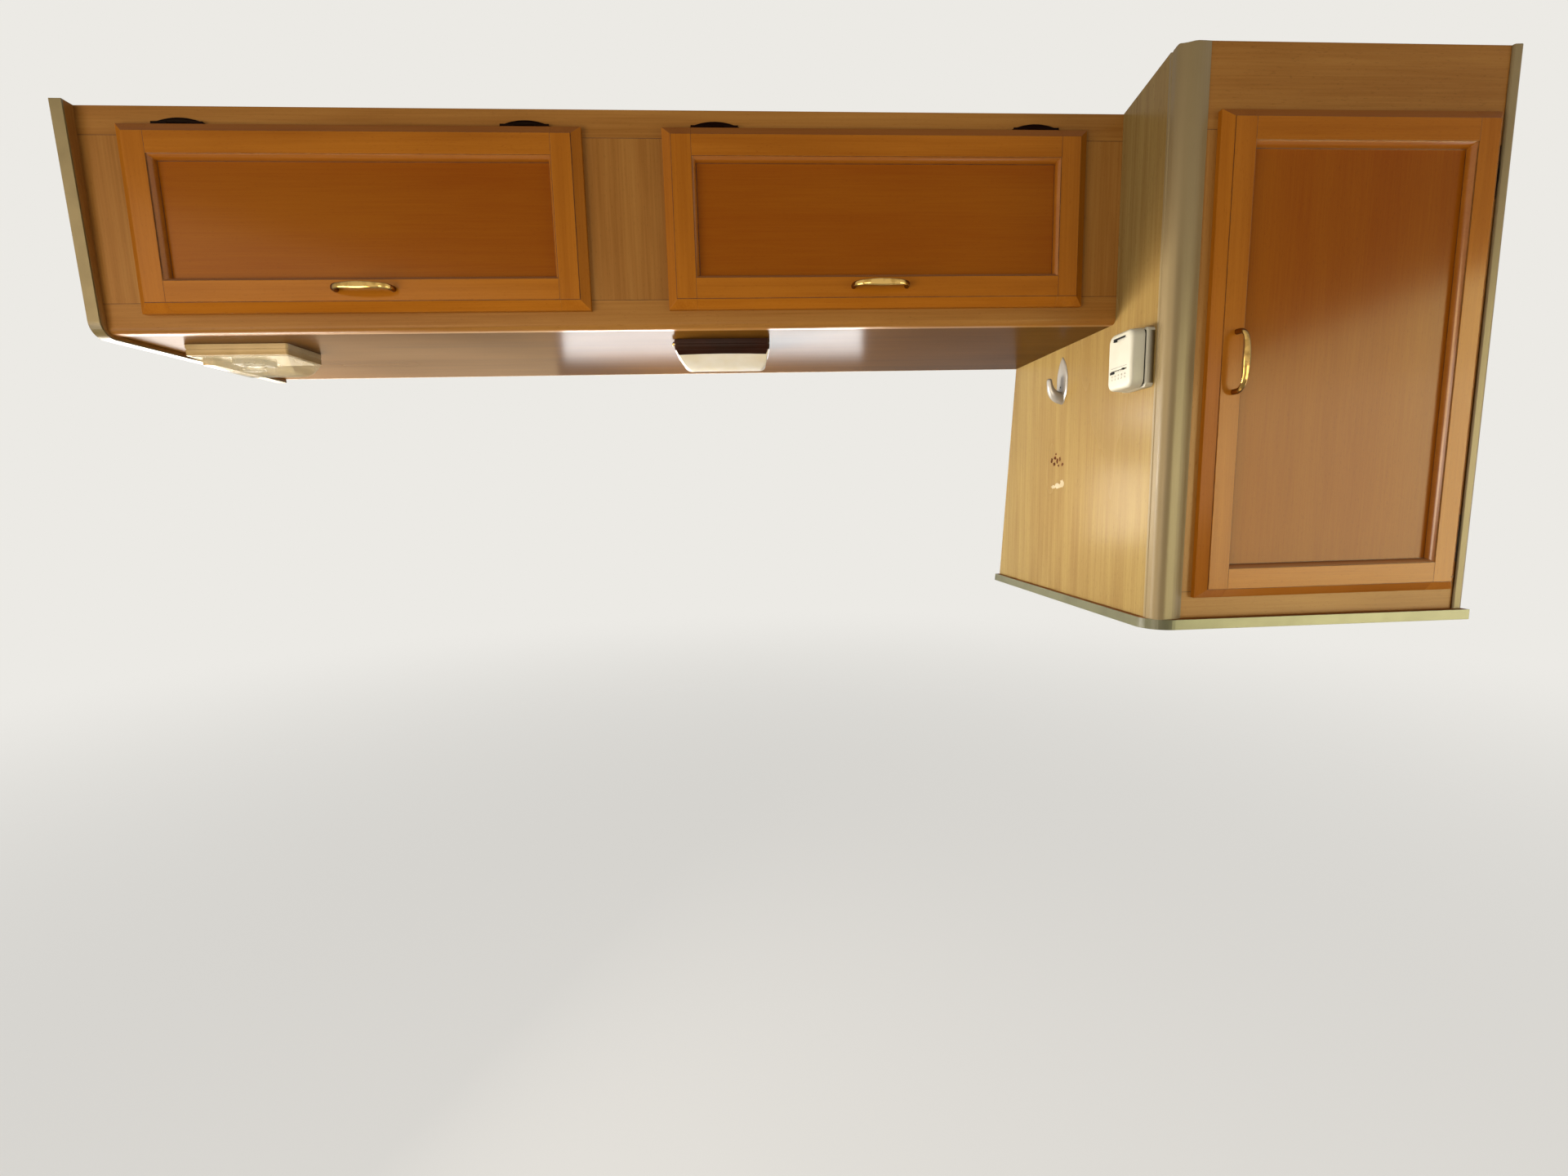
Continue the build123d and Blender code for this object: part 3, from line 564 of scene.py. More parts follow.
def sunk_head(points):
    """Lowers the post's top by 0.72 of how far each point stands in front of the face frame, and by 4 mm
    beside the board, as the ceiling runs."""
    board_side, face_side = 783 * MM, 806 * MM
    ahead = np.maximum(cupboard_face - points[:, Y], 0)
    beside = 4 * MM * (1 - smooth_step(board_side, face_side, points[:, X]))
    points[:, Z] -= np.where(points[:, Z] > 0, 0.72 * ahead + beside, 0)
    return points


locker_barrel = slim_barrel(Y, Z, (-368.6 * MM, 20.7 * MM))
cupboard_barrel = slim_barrel(X, Y, (1266.8 * MM, -507.1 * MM))
smooth_nodes = (
    "corner_post", "cupboard_end_trim", "end_edging", "end_panel", "cupboard_base_edging", "cupboard_base",
    "locker_rail_bottom", "thermostat_plate",
)
for name, source in nodes.items():
    side, _, part = name.partition("_door_")
    made = source
    if name in smooth_nodes:
        made = joined_copy(name, "cabinet", sunk_head if name == "corner_post" else None)
    elif part in ("hinge_leaves", "knuckles"):
        barrel = cupboard_barrel if side == "cupboard" else locker_barrel
        made = joined_copy(name, "cabinet" if part == "hinge_leaves" else side + "_door", barrel)
    made.data.materials.clear()
    made.data.materials.append(finish_of(name))


# Lines and beads of the doors. The sizes of the timber are those of the CAD
rim_wide, rim_step = 14 * MM, 1.2 * MM
member_wide = 44 * MM
mould_wide, mould_deep = 4.8 * MM, 12.5 * MM


def door_outline(door):
    """Outer rectangle of a door in X and Z, and the Y of its front face."""
    low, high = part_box(door + "_stile_left")[0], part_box(door + "_stile_right")[1]
    return low.x, high.x, low.z, high.z, low.y


def round_the_door(name, door, profile, material):
    """Closed band round a door: each (inset from the rim, depth below the front face) makes a rectangle."""
    x0, x1, z0, z1, front = door_outline(door)
    inset, depth = np.asarray(profile, dtype=float).T
    x = np.stack((x0 + inset, x1 - inset, x1 - inset, x0 + inset), axis=-1)
    z = np.stack((z0 + inset, z0 + inset, z1 - inset, z1 - inset), axis=-1)
    band = closed_grid(points_at(x, (front + depth)[:, None], z))
    piece(name, band, material, door, crease=25.0)


def mould_bead(door):
    """Ovolo on the slope between the frame's face and the panel: its chord swells by 1.7 sin(pi t)."""
    t = np.linspace(0, 1, 13)
    foot_depth = mould_deep + 0.3 * MM
    start = np.array((member_wide + 0.5 * MM, 1.5 * MM))
    end = np.array((member_wide + mould_wide + 0.9 * MM, foot_depth))
    chord = end - start
    outward = np.array((chord[1], -chord[0])) / np.linalg.norm(chord)
    curve = start + t[:, None] * chord + 1.7 * MM * np.sin(math.pi * t)[:, None] * outward
    profile = np.concatenate((curve, [(member_wide - 2 * MM, foot_depth)], curve[:1]))
    round_the_door(door + "_mould_bead", door, profile, bead_wood)


def thin_line(inset, depth, wide):
    """Profile of a dark line of dirt and painted shade: a flat diamond that stands 0.08 mm above the wood
    it lies on.
    """
    return [
        (inset - wide / 2, depth), (inset, depth - 0.08 * MM), (inset + wide / 2, depth),
        (inset, depth + 0.4 * MM), (inset - wide / 2, depth),
    ]


def seam_lines(name, spans, body, wide):
    """Butt joints that show as thin dark lines, each between two points on a face that looks along -Y."""
    grids = []
    for start, end in spans:
        path = np.linspace(start, end, 3)
        across = unit(np.cross(unit(path[-1] - path[0]), (0, -1, 0)))
        loops = oval_loop(np.full(3, wide / 2), np.full(3, 0.1 * MM), 1.6, 8)
        grids.append(along_path(path, across, loops))
    piece(name, stack(grids), quirk_dirt_and_shade, body)


for door in ("left_door", "right_door", "cupboard_door"):
    x0, x1, z0, z1, front = door_outline(door)
    mould_bead(door)
    # Dark lines of dirt and painted shade: in the quirk by the bead, at the panel's edge and at the foot of
    # the rim's step
    for line, inset, depth, wide, slot in (
        ("_quirk", member_wide + 0.3 * MM, 0.6 * MM, 0.9 * MM, "door_wood"),
        ("_panel_line", member_wide + mould_wide + 1.3 * MM, mould_deep, 1.1 * MM, "door_panel"),
        ("_rim_line", rim_wide - 0.4 * MM, rim_step, 0.9 * MM, "door_wood"),
    ):
        round_the_door(door + line, door, thin_line(inset, depth, wide), quirk_dirt_and_shade)
    joints = [
        ((x, front, near + side * rim_wide), (x, front, near + side * member_wide))
        for x in (x0 + member_wide, x1 - member_wide) for near, side in ((z0, 1), (z1, -1))
    ]
    seam_lines(door + "_joints", joints, door, 0.6 * MM)

for name, stiles in (
    ("locker_frame_seams", ("locker_stile_left", "locker_stile_centre", "locker_stile_right")),
    ("cupboard_frame_seams", ("cupboard_stile_left", "cupboard_stile_right")),
):
    spans = [
        ((low.x, low.y, z), (high.x, low.y, z)) for low, high in map(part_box, stiles) for z in (low.z, high.z)
    ]
    seam_lines(name, spans, "cabinet", 0.8 * MM)


# Bow pulls, with their feet on the door's face
pull_half, pull_rise = 42 * MM, 22.9 * MM
pulls = {"left_door": (1, 0, 0), "right_door": (1, 0, 0), "cupboard_door": (0, 0, 1)}
to_room = np.array((0.0, -1.0, 0.0))


def middle_of(name):
    """Middle of a node's box."""
    return np.mean(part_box(name), axis=0)


def bow_pull(door, along):
    """Arch (u, w) = (42 c^(2/3.2), 22.9 s^(2/3.2)) for c and s the cosine and sine of the turn, carried with
    an oval section that is narrow at the feet and wide in the middle."""
    turn = np.linspace(0, math.pi, 73)
    power = 2 / 3.2
    reach = pull_half * np.sign(np.cos(turn)) * np.abs(np.cos(turn)) ** power
    rise = pull_rise * np.abs(np.sin(turn)) ** power
    x, _, z = middle_of(door + "_pull")
    middle = np.array((x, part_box(door + "_pull")[1].y, z))
    path = middle + reach[:, None] * along + rise[:, None] * to_room
    half_wide = (4.2 + 1.4 * smooth_step(0.25, 1.0, 1 - np.abs(reach) / pull_half)) * MM
    half_thick = (4.0 - 1.9 * smooth_step(0.25, 0.85, rise / pull_rise)) * MM
    bow = along_path(path, np.cross(along, to_room), oval_loop(half_wide, half_thick, 2.3, 28))
    made = piece(door + "_bow", bow, brass, door, crease=60.0)
    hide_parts(door + "_pull")
    return made


# What the sheen cards leave out: the polished pulls here, and the lamps' lenses below
left_out = [bow_pull(door, along) for door, along in pulls.items()]


# Lens hinges: a crowned cover on each fixed leaf
leaf_long = 84 * MM


def lens_crown(middle, along, up, high):
    """Lens between a straight edge and an arc of radius (long^2 / 4 + high^2) / (2 high), 1.9 mm thick, with
    a ridge of up to 0.9 mm along its arc."""
    sweep = np.linspace(0, math.pi, 49)[:, None]
    share = np.array([0, 0, 0.03, 0.1, 0.25, 0.42, 0.55, 0.68, 0.8, 0.9, 0.97, 1, 1])[None, :]
    radius = (leaf_long ** 2 / 4 + high ** 2) / (2 * high)
    length = -0.5 * leaf_long * np.cos(sweep)
    arc = np.sqrt(np.maximum(radius ** 2 - length ** 2, 0)) - (radius - high)
    crown = smooth_step(0.35, 0.75, share) * (1 - smooth_step(0.85, 1.0, share))
    lift = 1.9 * MM + 0.9 * MM * crown * (arc / high)
    lift[:, [0, -1]] = 0.05 * MM
    points = np.array(middle) + length[..., None] * along + (arc * share)[..., None] * up
    return closed_grid(points + lift[..., None] * to_room)


# Each door's hinge line and how high its covers stand on it, in millimetres
hinge_lines = {"left_door": (18.5, 10.0), "right_door": (18.5, 10.0), "cupboard_door": (1264.6, 9.0)}
for door, (hinge_line, high) in hinge_lines.items():
    low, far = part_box(door + "_hinge_leaves")
    if door == "cupboard_door":
        places = [(hinge_line * MM, cupboard_face, z) for z in (far.z - leaf_long / 2, low.z + leaf_long / 2)]
        along, up = (0, 0, -1), (1, 0, 0)
    else:
        places = [(x, locker_face, hinge_line * MM) for x in (low.x + leaf_long / 2, far.x - leaf_long / 2)]
        along, up = (1, 0, 0), (0, 0, 1)
    covers = [lens_crown(place, along, up, high * MM) for place in places]
    piece(door + "_lens_covers", stack(covers), hinge_lacquer, "cabinet", crease=35.0)


# Lamps: each base is a box in the CAD, and its lens hangs from the rim
lamp_middles = {lamp: middle_of(lamp + "_base")[X] for lamp in ("left_lamp", "right_lamp")}
lamp_y = middle_of("left_lamp_base")[Y]
lamp_rim, lamp_top = (corner.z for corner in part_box("left_lamp_base"))
lens_half_long, lens_half_deep, lens_high = 79.3 * MM, 45.8 * MM, 27.4 * MM
lens_radius = (lens_half_deep ** 2 + lens_high ** 2) / (2 * lens_high)


def lens_across(depth):
    """Half width of a lens at a depth d below the rim: sqrt(R^2 - (d + R - high)^2), the arc through the rim
    and the deepest line."""
    return np.sqrt(np.maximum(lens_radius ** 2 - (depth + lens_radius - lens_high) ** 2, 0))


def lamp_lens(lamp, left_slant, right_slant, material):
    """Bowl of rounded rectangles at growing depth; its ends slant in and meet the bottom in 10 mm rounds."""
    turn = 10 * MM
    depth = lens_high * np.sin(np.linspace(0, math.pi / 2, 34))
    rolled = np.clip((depth - (lens_high - turn)) / turn, 0, 1)
    corner_in = turn * (1 - np.sqrt(1 - rolled ** 2))
    left = left_slant * MM * depth / lens_high + corner_in
    right = right_slant * MM * depth / lens_high + corner_in
    half_long = (2 * lens_half_long - left - right) / 2
    rings = rounded_rings(half_long, lens_across(depth) + 0.01 * MM, np.full(len(depth), 2.5 * MM))
    x = lamp_middles[lamp] + ((left - right) / 2)[:, None] + rings[..., 0]
    bowl = closed_grid(points_at(x, lamp_y + rings[..., 1], lamp_rim - depth[:, None]))
    made = piece(lamp + "_lens_moulding", bowl, material, "cabinet", crease=42.0)
    wall = made.modifiers.new("wall", "SOLIDIFY")
    wall.thickness, wall.offset = 1.8 * MM, -1.0
    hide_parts(lamp + "_lens")
    left_out.append(made)


def lamp_base(lamp):
    """Tray that holds the lens: rounded rectangles with a fine groove half way down and a lip at the foot."""
    depth = np.array([0, 0, 0.2, 7.6, 8.0, 8.6, 9.0, 15.8, 16.4, 17.6, 18.0, 18.0, 18.0]) * MM
    drawn = np.array([79, 0.5, 0.1, 0.35, 0.9, 0.9, 0.4, 0.75, 0.6, 0.64, 1.1, 3.0, 47]) * MM
    half_long, half_deep = np.maximum(81 * MM - drawn, 1 * MM), np.maximum(47.5 * MM - drawn, 1 * MM)
    rings = rounded_rings(half_long, half_deep, np.full(len(depth), 4 * MM))
    z = lamp_top - np.minimum(depth, lamp_top - lamp_rim)[:, None]
    tray = closed_grid(points_at(lamp_middles[lamp] + rings[..., 0], lamp_y + rings[..., 1], z))
    made = piece(lamp + "_base_moulding", tray, finish_of(lamp + "_base"), "cabinet")
    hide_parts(lamp + "_base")


def lamp_skirt(lamp):
    """Dark lip of the right lamp's tray: it follows the lens's arc, 0.4 mm in front of it, for 6 mm at the
    middle and 7.2 mm at the ends."""
    along = np.linspace(-1, 1, 41)[:, None]
    share = np.concatenate([np.linspace(0, 1, 7), np.linspace(1, 0, 7)])[None, :]
    proud = np.repeat([0.4, -0.4], 7) * MM
    depth = (6.0 + 1.2 * along ** 2) * MM * share
    x = lamp_middles[lamp] + along * (77.5 - 3 * share) * MM
    lip = closed_grid(capped(points_at(x, lamp_y - lens_across(depth) - proud, lamp_rim - depth)))
    piece(lamp + "_skirt", lip, lamp_brown, "cabinet")


lamp_lens("left_lamp", 56, 7, lens_clear)
lamp_lens("right_lamp", 17, 7, lens_acrylic)
lamp_skirt("right_lamp")
for lamp in lamp_middles:
    lamp_base(lamp)


def box_shell(low, high, corner):
    """Closed box with rounded upright corners: four rings, the first and last drawn in to their middle."""
    half, middle = (high - low) / 2, (low + high) / 2
    sizes = np.array([0.01, 1, 1, 0.01])
    rings = rounded_rings(half[X] * sizes, half[Y] * sizes, corner * sizes)
    level = np.array([low[Z], low[Z], high[Z], high[Z]])[:, None]
    return closed_grid(points_at(middle[X] + rings[..., 0], middle[Y] + rings[..., 1], level))


def lamp_inside(lamp):
    """Reflector sheet, switch housing at the left end, and a bulb holder with a festoon bulb in its clips."""
    rim = np.array((lamp_middles[lamp], lamp_y, lamp_rim))
    # Each box: two corners from the middle of the rim and its rounding, in millimetres, and its finish
    for part, low, high, corner, finish in (
        ("_reflector", (-75, -42, -1.2), (75, 42, 0.4), 3, reflector_cream),
        ("_switch_housing", (-68, -30, -12), (-48, 30, 0), 3, finish_of(lamp + "_base")),
        ("_bulb_holder", (-26, -22, -9), (22, 18, 0), 2, holder_grey),
    ):
        box = box_shell(rim + np.array(low) * MM, rim + np.array(high) * MM, corner * MM)
        piece(lamp + part, box, finish, "cabinet")
    half_tube = [(16, 0), (16, 3.2), (14, 4.6), (11, 5)]
    tube = [(-x, r) for x, r in half_tube] + half_tube[::-1]
    bulb = turned(tube, rim + np.array((-2, -2, -14.2)) * MM, (1, 0, 0))
    piece(lamp + "_bulb", bulb, bulb_glass, "cabinet")
    cap = [(0, 0), (0, 3.4), (3.5, 3.4), (5.5, 1.6), (5.5, 0)]
    caps = [
        turned(cap, rim + np.array((x, -2, -14.2)) * MM, (way, 0, 0)) for x, way in ((-17.5, -1), (13.5, 1))
    ]
    piece(lamp + "_bulb_caps", stack(caps), nickel, "cabinet")


for lamp in lamp_middles:
    lamp_inside(lamp)

# Push buttons on the lamps' left ends: a collar and a domed brass button
button = [(0, 0), (0, 4.2), (1.4, 4.2), (1.8, 3.6), (3.4, 3.5), (4.3, 2.9), (4.9, 1.7), (5.1, 0)]
pair = [turned(button, (x - 80.2 * MM, -277 * MM, -279 * MM), (-1, 0, 0.16)) for x in lamp_middles.values()]
buttons = piece("lamp_buttons", stack(pair), brass, "cabinet", crease=50.0)
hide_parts("lamp_switches")


# Thermostat, on the side board; its cover is a box in the CAD
board_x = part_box("thermostat_plate")[1].x
_, stat_y, stat_z = middle_of("thermostat_cover")
face_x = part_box("thermostat_cover")[0].x
cover_back, cover_front = 15 * MM, board_x - face_x
cover_turn, cover_draw = 6 * MM, 1 * MM
cover_half = (34 * MM, 44 * MM)


def on_the_board(away, rings):
    """Grid of rings about the thermostat's middle, each at its distance from the board."""
    return closed_grid(points_at(board_x - away[:, None], stat_y - rings[..., 0], stat_z + rings[..., 1]))


def stat_cover():
    """Rounded-rectangle rings from the open back to the front face: straight sides that draw in by 1 mm, a
    quarter turn of radius 6 mm at the front, and a flat face."""
    side = np.linspace(0, 1, 5)
    roll = np.linspace(0, math.pi / 2, 11)[1:]
    run = cover_front - cover_turn - cover_back
    inside = np.array([4.0, 10.0, 18.0]) * MM
    away = np.concatenate([
        [cover_back + 2 * MM], cover_back + side * run, cover_back + run + cover_turn * np.sin(roll),
        np.full(4, cover_front),
    ])
    draw = np.concatenate([
        [2 * MM], side * cover_draw, cover_draw + cover_turn * (1 - np.cos(roll)),
        cover_draw + cover_turn + inside, [cover_half[1] - 0.01 * MM],
    ])
    half_wide = np.maximum(cover_half[0] - draw, 0.01 * MM)
    rings = rounded_rings(half_wide, cover_half[1] - draw, np.maximum(13 * MM - draw * 0.6, 0.01 * MM), 11)
    cover = on_the_board(away, rings)
    made = piece("thermostat_cover_moulding", cover, stat_ivory, "cabinet", crease=50.0)
    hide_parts("thermostat_cover")


def stat_gap():
    """Dark band of painted shade in the gap between cover and plate: a closed loop of (inset, distance from
    the board).
    """
    inset = np.array([3.0, 3.0, 3.9, 3.9, 3.0]) * MM
    away = np.array([11.9, 15.3, 15.3, 11.9, 11.9]) * MM
    rings = rounded_rings(cover_half[0] - inset, cover_half[1] - inset, np.full(5, 4 * MM))
    piece("thermostat_gap_shade", on_the_board(away, rings), black_plastic, "cabinet")


def face_bar(y, z, half_long, half_high, proud, corner=None):
    """Flat rounded bar that stands a little proud of the cover's face, all in millimetres from its middle."""
    corner = min(half_long, half_high) if corner is None else corner
    sizes = np.array([0.01, 0.9, 1.0, 1.0])
    rings = rounded_rings(half_long * sizes, half_high * sizes, corner * sizes, 7) * MM
    away = cover_front + np.array([proud, proud, proud * 0.6, -0.3]) * MM
    return on_the_board(away, rings - np.array((y, -z)) * MM)


def face_marks(name, bars, material=black_plastic):
    """Several flat bars on the cover's face as one mesh."""
    piece(name, stack([face_bar(*bar) for bar in bars]), material, "cabinet")


def figures(name, words, height):
    """Numbers printed on the cover's face, each set at its place in millimetres from the face's middle."""
    grids = []
    for word, y, z in words:
        curve = bpy.data.curves.new(name, "FONT")
        curve.body, curve.size, curve.align_x, curve.align_y = word, height * MM, "CENTER", "CENTER"
        holder = placed(name, curve)
        flat = bpy.data.meshes.new_from_object(holder.evaluated_get(bpy.context.evaluated_depsgraph_get()))
        place = positions(flat)
        flat.calc_loop_triangles()
        corners = np.empty(len(flat.loop_triangles) * 3, dtype=np.int64)
        flat.loop_triangles.foreach_get("vertices", corners)
        points = points_at(face_x - 0.25 * MM, stat_y + y * MM - place[:, X], stat_z + z * MM + place[:, Y])
        grids.append((points, corners.reshape(-1, 3)))
        bpy.data.objects.remove(holder)
        bpy.data.meshes.remove(flat)
        bpy.data.curves.remove(curve)
    mesh = mesh_of(name, *stack(grids))
    mesh.materials.append(black_plastic)
    made = placed(name, mesh)
    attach(made, "cabinet")


stat_cover()
stat_gap()

# Each mark: y, z, half its length and height, how far it stands proud, and for some their corners' radius
slot_z, dial_z = 34.5, -15
thin = 0.16
face_marks("thermostat_top_slot", [(1, slot_z - 0.6, 17, 1.5, 0.2)])
top_ticks = [(y, slot_z - 4.6, 0.3, 0.7, thin) for y in np.linspace(13, -13, 9)]
face_marks("thermostat_top_ticks", top_ticks, holder_grey)
face_marks("thermostat_face_lines", [(0, slot_z - 2.9, 20, 0.3, thin), (0, -9, 22, 0.35, thin)], holder_grey)
face_marks("thermostat_dial_line", [(0, dial_z + 1.6, 22, 0.5, 0.2)])
face_marks("thermostat_pointer", [(18, dial_z - 0.8, 6.6, 1.9, 0.5, 0.8)])
face_marks("thermostat_ticks", [(y, dial_z + 0.2, 0.3, 1.0, thin) for y in np.linspace(20, -20, 13)])
scales = ((50, 10, dial_z - 6.4), (10, 5, dial_z - 11.2))
numbers = [(str(first + step * k), 18 - 9 * k, z) for first, step, z in scales for k in range(5)]
figures("thermostat_figures", numbers, 3.7)

# Small latch nubs on the cover's top and bottom edges
nub = [(0, 0), (0, 2.6), (0.6, 2.5), (1.2, 1.9), (1.6, 1.0), (1.7, 0)]
nubs = [
    turned(nub, (board_x - 26 * MM, stat_y + 2 * MM, stat_z + way * 42.2 * MM), (0, 0, way), 20)
    for way in (1, -1)
]
piece("thermostat_nubs", stack(nubs), stat_ivory, "cabinet")


# Coat hook
_, hook_y, hook_z = middle_of("coat_hook")


def hook_plate():
    """Leaf outline at height 44 t: half width 22 (1 - t^2)^0.9 towards the pointed top and 22 sqrt(1 - t^2)
    towards the round foot, domed over its width, with a shallow hollow along its middle."""
    t = np.sin(np.linspace(-math.pi / 2, math.pi / 2, 49))[:, None]
    s = np.sin(np.linspace(-math.pi / 2, math.pi / 2, 25))[None, :]
    half = 22 * MM * (1 - t ** 2) ** (0.5 + 0.4 * smooth_step(-0.5, 0.5, t))
    dome = (1 - np.abs(s) ** 3) * (1 - t ** 4) ** 0.5
    lift = 0.6 * MM + 3.9 * MM * dome - 1.0 * MM * np.exp(-(s / 0.45) ** 2) * (1 - t ** 2)
    y, z = hook_y + half * s, hook_z + 44 * MM * t
    front, back = points_at(board_x - lift, y, z), points_at(board_x, y, z)[:, ::-1]
    return closed_grid(np.concatenate([front, back], axis=1))


def pulled_curve(t, start, pull, end):
    """Curve that a third point bends: (1 - t)^2 start + 2 t (1 - t) pull + t^2 end."""
    return (1 - t) ** 2 * start + 2 * t * (1 - t) * pull + t ** 2 * end


def hook_prong():
    """Oval sections between the prong's outer and inner curves, of (distance from the board, height) in
    millimetres; the tip closes in a half-round."""
    t = np.linspace(0, 1, 37)
    outer = pulled_curve(t[:, None], *np.array([(0.5, -43.6), (28.5, -38.5), (30.3, 0.5)]))
    inner = pulled_curve(t[:, None], *np.array([(0.5, -20.0), (19.5, -19.5), (21.8, 0.5)]))
    middle, half = (outer + inner) / 2 * MM, np.linalg.norm(outer - inner, axis=1) / 2 * MM
    wide = (11.5 - 4.5 * smooth_step(0.1, 1.0, t)) * MM
    tip = np.linspace(0, math.pi / 2, 9)[1:]
    tip_long = 4.2 * MM
    closing = np.maximum(np.cos(tip), 0.02)
    ahead = np.sin(tip)[:, None] * tip_long * unit(middle[-1] - middle[-2])
    middle = np.concatenate([middle, middle[-1] + ahead])
    half = np.concatenate([half, half[-1] * closing])
    wide = np.concatenate([wide, wide[-1] * closing])
    path = points_at(board_x - middle[:, 0], hook_y, hook_z + middle[:, 1])
    return along_path(path, (0, 1, 0), oval_loop(wide, half, 2.1, 28))


hook = piece(
    "coat_hook_casting", stack([hook_plate(), hook_prong()]), hook_paint, "cabinet", crease=45.0
)
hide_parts("coat_hook")
screw = [(0, 0), (0, 1.9), (0.5, 1.8), (0.5, 0)]
screw_head = turned(screw, (board_x - 3.4 * MM, hook_y, hook_z - 12 * MM), (-1, 0, 0), 20)
piece("coat_hook_screw", screw_head, black_plastic, "cabinet")


# Glue spots, a pale smear and a nail dent, which stay as the photograph shows them
rng = np.random.default_rng(7)


def fleck(middle, first, second, long, high):
    """Flat irregular blob: a ring whose radius wanders by a third, under a cap 0.12 mm high."""
    turn = full_turn(14)
    reach = 1 + 0.33 * rng.uniform(-1, 1, turn.size)
    share = np.array([0.0, 0.85, 1.0, 1.0])[:, None]
    lift = np.array([0.12, 0.1, 0.02, -0.2])[:, None, None] * MM
    along = (share * reach * np.cos(turn) * long)[..., None] * first
    up = (share * reach * np.sin(turn) * high)[..., None] * second
    return closed_grid(np.array(middle) + along + up + lift * np.cross(first, second))


def side_flecks(name, spots, material):
    """Flecks on the cupboard's side board, each a y, z, half length and half height in millimetres."""
    grids = [
        fleck((board_x, y * MM, z * MM), (0, -1, 0), (0, 0, 1), long * MM, high * MM)
        for y, z, long, high in spots
    ]
    piece(name, stack(grids), material, "cabinet")


side_flecks("side_board_chips", (
    (-146, -484, 4.0, 5.5), (-160, -480, 6.0, 3.0), (-157, -491, 5.0, 4.0), (-170, -486, 4.0, 6.0),
    (-181, -483, 3.5, 4.5), (-176, -495, 3.0, 2.5), (-192, -493, 4.0, 3.5), (-164, -472, 3.0, 2.0),
), chip_brown)
side_flecks("side_board_smear", (
    (-156, -536, 10.0, 3.0), (-176, -534, 16.0, 4.5), (-192, -530, 8.0, 6.5),
), chip_pale)
dent = fleck((1249.2 * MM, -522.1 * MM, -688.0 * MM), (1, 0, 0), (0, 0, 1), 2.0 * MM, 1.6 * MM)
piece("cupboard_door_nail_dent", dent, quirk_dirt_and_shade, "cupboard_door")


# Screws behind the pulls, one behind each foot
def cross_head(centre, axis, radius):
    """Pan head: height 0.45 r sqrt(1 - 0.8 q^2) at q of its radius, with a cross pressed into its middle."""
    axis, first, second = square_to(axis)
    q = np.concatenate([[0.001], np.linspace(0.08, 1, 16), [1.0]])[:, None]
    a, b = q * np.cos(full_turn(48)), q * np.sin(full_turn(48))
    arms = [
        smooth_step(0.17, 0.1, np.abs(u)) * smooth_step(0.62, 0.5, np.abs(v)) for u, v in ((a, b), (b, a))
    ]
    lift = 0.45 * np.sqrt(1 - 0.8 * q ** 2) - 0.3 * np.maximum(*arms)
    lift[-1] = 0
    head = a[..., None] * first + b[..., None] * second + lift[..., None] * axis
    return closed_grid(centre + radius * head)


for door, along in pulls.items():
    door_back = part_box(door + "_stile_left")[1].y
    x, _, z = middle_of(door + "_pull")
    middle = np.array((x, door_back, z))
    heads = [cross_head(middle + way * pull_half * np.array(along), -to_room, 3.6 * MM) for way in (-1, 1)]
    piece(door + "_pull_screws", stack(heads), nickel, door)


# Camera where the photograph was taken: its turn, and its lens and place in metres from the solved picture
yaw, pitch, roll = math.radians(3.42), math.radians(-7.813), math.radians(-1.403)
sensor_wide, photo_wide, focal_pixels = 36, 1920, 834.06
forward = Vector((math.sin(yaw) * math.cos(pitch), math.cos(yaw) * math.cos(pitch), math.sin(pitch)))
level = Vector((math.cos(yaw), -math.sin(yaw), 0))
upward = level.cross(forward)
right = math.cos(roll) * level + math.sin(roll) * upward
top = -math.sin(roll) * level + math.cos(roll) * upward
camera = placed("camera", bpy.data.cameras.new("camera"))
camera.data.sensor_width = sensor_wide
camera.data.lens = sensor_wide * focal_pixels / photo_wide
camera.matrix_world = Matrix((
    (right.x, top.x, -forward.x, 0.1604),
    (right.y, top.y, -forward.y, -1.4969),
    (right.z, top.z, -forward.z, -0.5379),
    (0, 0, 0, 1),
))
bpy.context.scene.camera = camera


# Floor that fades into the background, and the background itself
background_tone, floor_tone = "#ECEAE5", "#E4E2DD"
floor_level = -2.3


def pale_floor():
    """Wide disc: rings at growing radii, so that the fade to clear reads Object coordinates smoothly."""
    radii = np.concatenate([[0.001], np.linspace(0.5, 14, 16)])
    turn = full_turn(96)
    disc = points_at(0.25 + np.outer(radii, np.cos(turn)), np.outer(radii, np.sin(turn)), floor_level)
    material, tree, place = blank("pale matt floor")
    split = add(tree, "SeparateXYZ", {0: place})
    flat = add(tree, "CombineXYZ", {0: split.outputs[0], 1: split.outputs[1]}).outputs[0]
    away = add(tree, "VectorMath", {0: flat}, operation="LENGTH").outputs["Value"]
    gone = ramp(tree, away, 1.5, 9.0, interpolation_type="SMOOTHSTEP")
    matt = add(tree, "BsdfDiffuse", {"Color": linear(floor_tone)}).outputs[0]
    glow = add(tree, "Emission", {"Color": linear(background_tone), "Strength": 1.0}).outputs[0]
    lifted = times(tree, add(tree, "LightPath").outputs["Is Camera Ray"], 0.72)
    pale = add(tree, "MixShader", {0: lifted, 1: matt, 2: glow}).outputs[0]
    clear = add(tree, "BsdfTransparent").outputs[0]
    faded = add(tree, "MixShader", {0: gone, 1: pale, 2: clear}).outputs[0]
    add(tree, "OutputMaterial", {"Surface": faded})
    mesh = mesh_of("floor", *closed_grid(disc))
    mesh.materials.append(material)
    placed("floor", mesh)


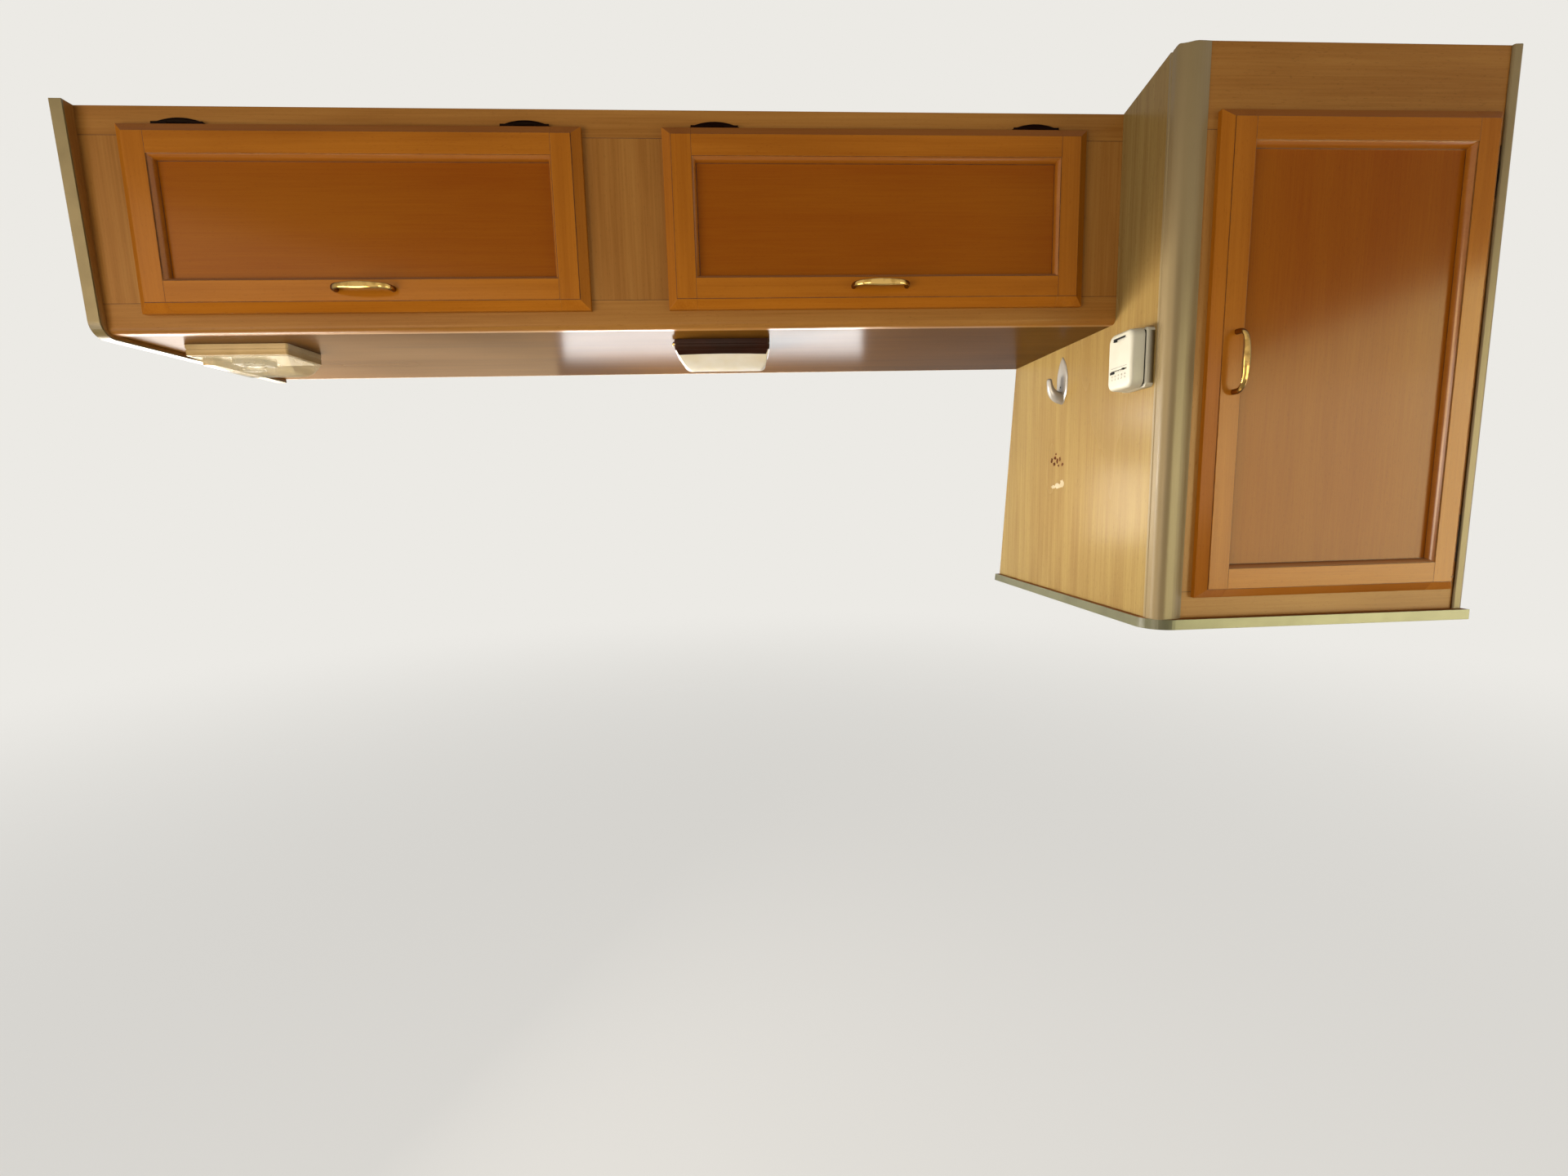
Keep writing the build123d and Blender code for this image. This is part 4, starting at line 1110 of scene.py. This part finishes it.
def pale_world():
    """The background tone wherever the camera, a mirror or a lens looks at it, and otherwise a soft light
    that is a little stronger from below."""
    world = bpy.data.worlds.new("studio")
    bpy.context.scene.world = world
    world.use_nodes = True
    tree = world.node_tree
    tree.nodes.clear()
    seen = add(tree, "LightPath").outputs
    direct = add(
        tree, "Math", {0: seen["Is Camera Ray"], 1: seen["Is Glossy Ray"]}, operation="ADD"
    ).outputs[0]
    shown = add(
        tree, "Math", {0: direct, 1: seen["Is Transmission Ray"]}, operation="ADD", use_clamp=True
    ).outputs[0]
    height = add(tree, "SeparateXYZ", {0: add(tree, "TexCoord").outputs["Generated"]}).outputs[2]
    from_below = ramp(tree, height, 0.6, -0.6, 0.22, 0.4)
    soft = add(tree, "Background", {"Color": linear("#FFFFFF"), "Strength": from_below}).outputs[0]
    pale = add(tree, "Background", {"Color": linear(background_tone), "Strength": 1.0}).outputs[0]
    add(tree, "OutputWorld", {"Surface": add(tree, "MixShader", {0: shown, 1: soft, 2: pale}).outputs[0]})


pale_floor()
pale_world()


# Soft studio lights, placed where the photograph's light comes from. The narrowed ones leave out the
# polished metal and the lamps' lenses, which would mirror them as plain white
off_the_metal = bpy.data.collections.new("left out of the sheen cards")
for made in left_out:
    off_the_metal.objects.link(made)
for entry in off_the_metal.collection_objects:
    entry.light_linking.link_state = "EXCLUDE"
cards_face = -0.5


def soft_light(name, place, target, wide, high, watts, tone="#FFFFFF", spread=180, tilt=0, narrowed=False):
    """Rectangular area light that looks at a target and is not seen by the camera; tilt turns it about its
    own line of sight."""
    lamp = bpy.data.lights.new(name, "AREA")
    lamp.shape, lamp.size, lamp.size_y, lamp.energy = "RECTANGLE", wide, high, watts
    lamp.color = linear(tone)[:3]
    lamp.spread = math.radians(spread)
    made = placed(name, lamp)
    facing = (Vector(target) - Vector(place)).to_track_quat("-Z", "Y").to_matrix().to_4x4()
    made.matrix_world = Matrix.Translation(place) @ facing @ Matrix.Rotation(math.radians(tilt), 4, "Z")
    made.visible_camera = False
    if narrowed:
        made.light_linking.receiver_collection = off_the_metal
    return made


def sheen_card(name, place, wide, high, watts, tone="#FFFFFF", tilt=0):
    """Narrowed light that looks straight along Y at the cabinets and shows only in glossy surfaces."""
    target = (place[X], cards_face, place[Z])
    card = soft_light(name, place, target, wide, high, watts, tone, tilt=tilt, narrowed=True)
    card.visible_diffuse = False


soft_light("left front", (-1.7, -2.1, -1.0), (-0.4, -0.3, -0.1), 1.6, 1.4, 42, "#FFF4E4")
sheen_card("left front sheen", (-1.45, -2.0, -0.15), 2.2, 1.1, 60, "#FFDDA6", tilt=-14.6)
soft_light("right front", (2.415, -2.0, -0.555), (1.1, -0.52, -0.5), 1.07, 0.78, 12, "#FFEFD6")
sheen_card("right front sheen", (2.589, -2.0, -0.682), 2.0, 1.5, 160, "#FFF6B0", tilt=18.6)
soft_light("right window", (2.3, -0.78, -0.75), (1.29, -0.5, -0.6), 0.6, 0.6, 3)
soft_light("room fill", (0.1, -1.7, -0.4), (1.0, -0.5, -0.4), 0.5, 0.5, 4, "#FFF4E4")
soft_light("window", (-0.25, 0.1, -0.49), (0.785, -0.4, -0.5), 0.5, 0.1, 4.4, spread=100)
sheen_card("window sheen", (0.112, 0.13, -0.368), 0.68, 0.047, 2.7)
sheen_card("lit wall sheen", (0.46, 0.125, -0.58), 0.14, 0.18, 1.4, "#FFF3DC")
soft_light("doorway", (-1.25, 0.35, -0.95), (0.4, -0.4, -0.4), 0.7, 0.9, 34, "#FFF6EA", narrowed=True)
sheen_card("doorway sheen", (-1.24, 0.35, -0.42), 0.3, 0.12, 0.9)
sheen_card("far room sheen", (-0.85, 0.36, -0.39), 1.1, 0.14, 1.4, "#FFDCA6")
soft_light("counter", (1.15, -0.75, -1.45), (1.1, -0.55, -0.7), 0.7, 0.4, 1.2, "#FFF6E6")

bpy.context.scene.view_settings.view_transform = "Standard"
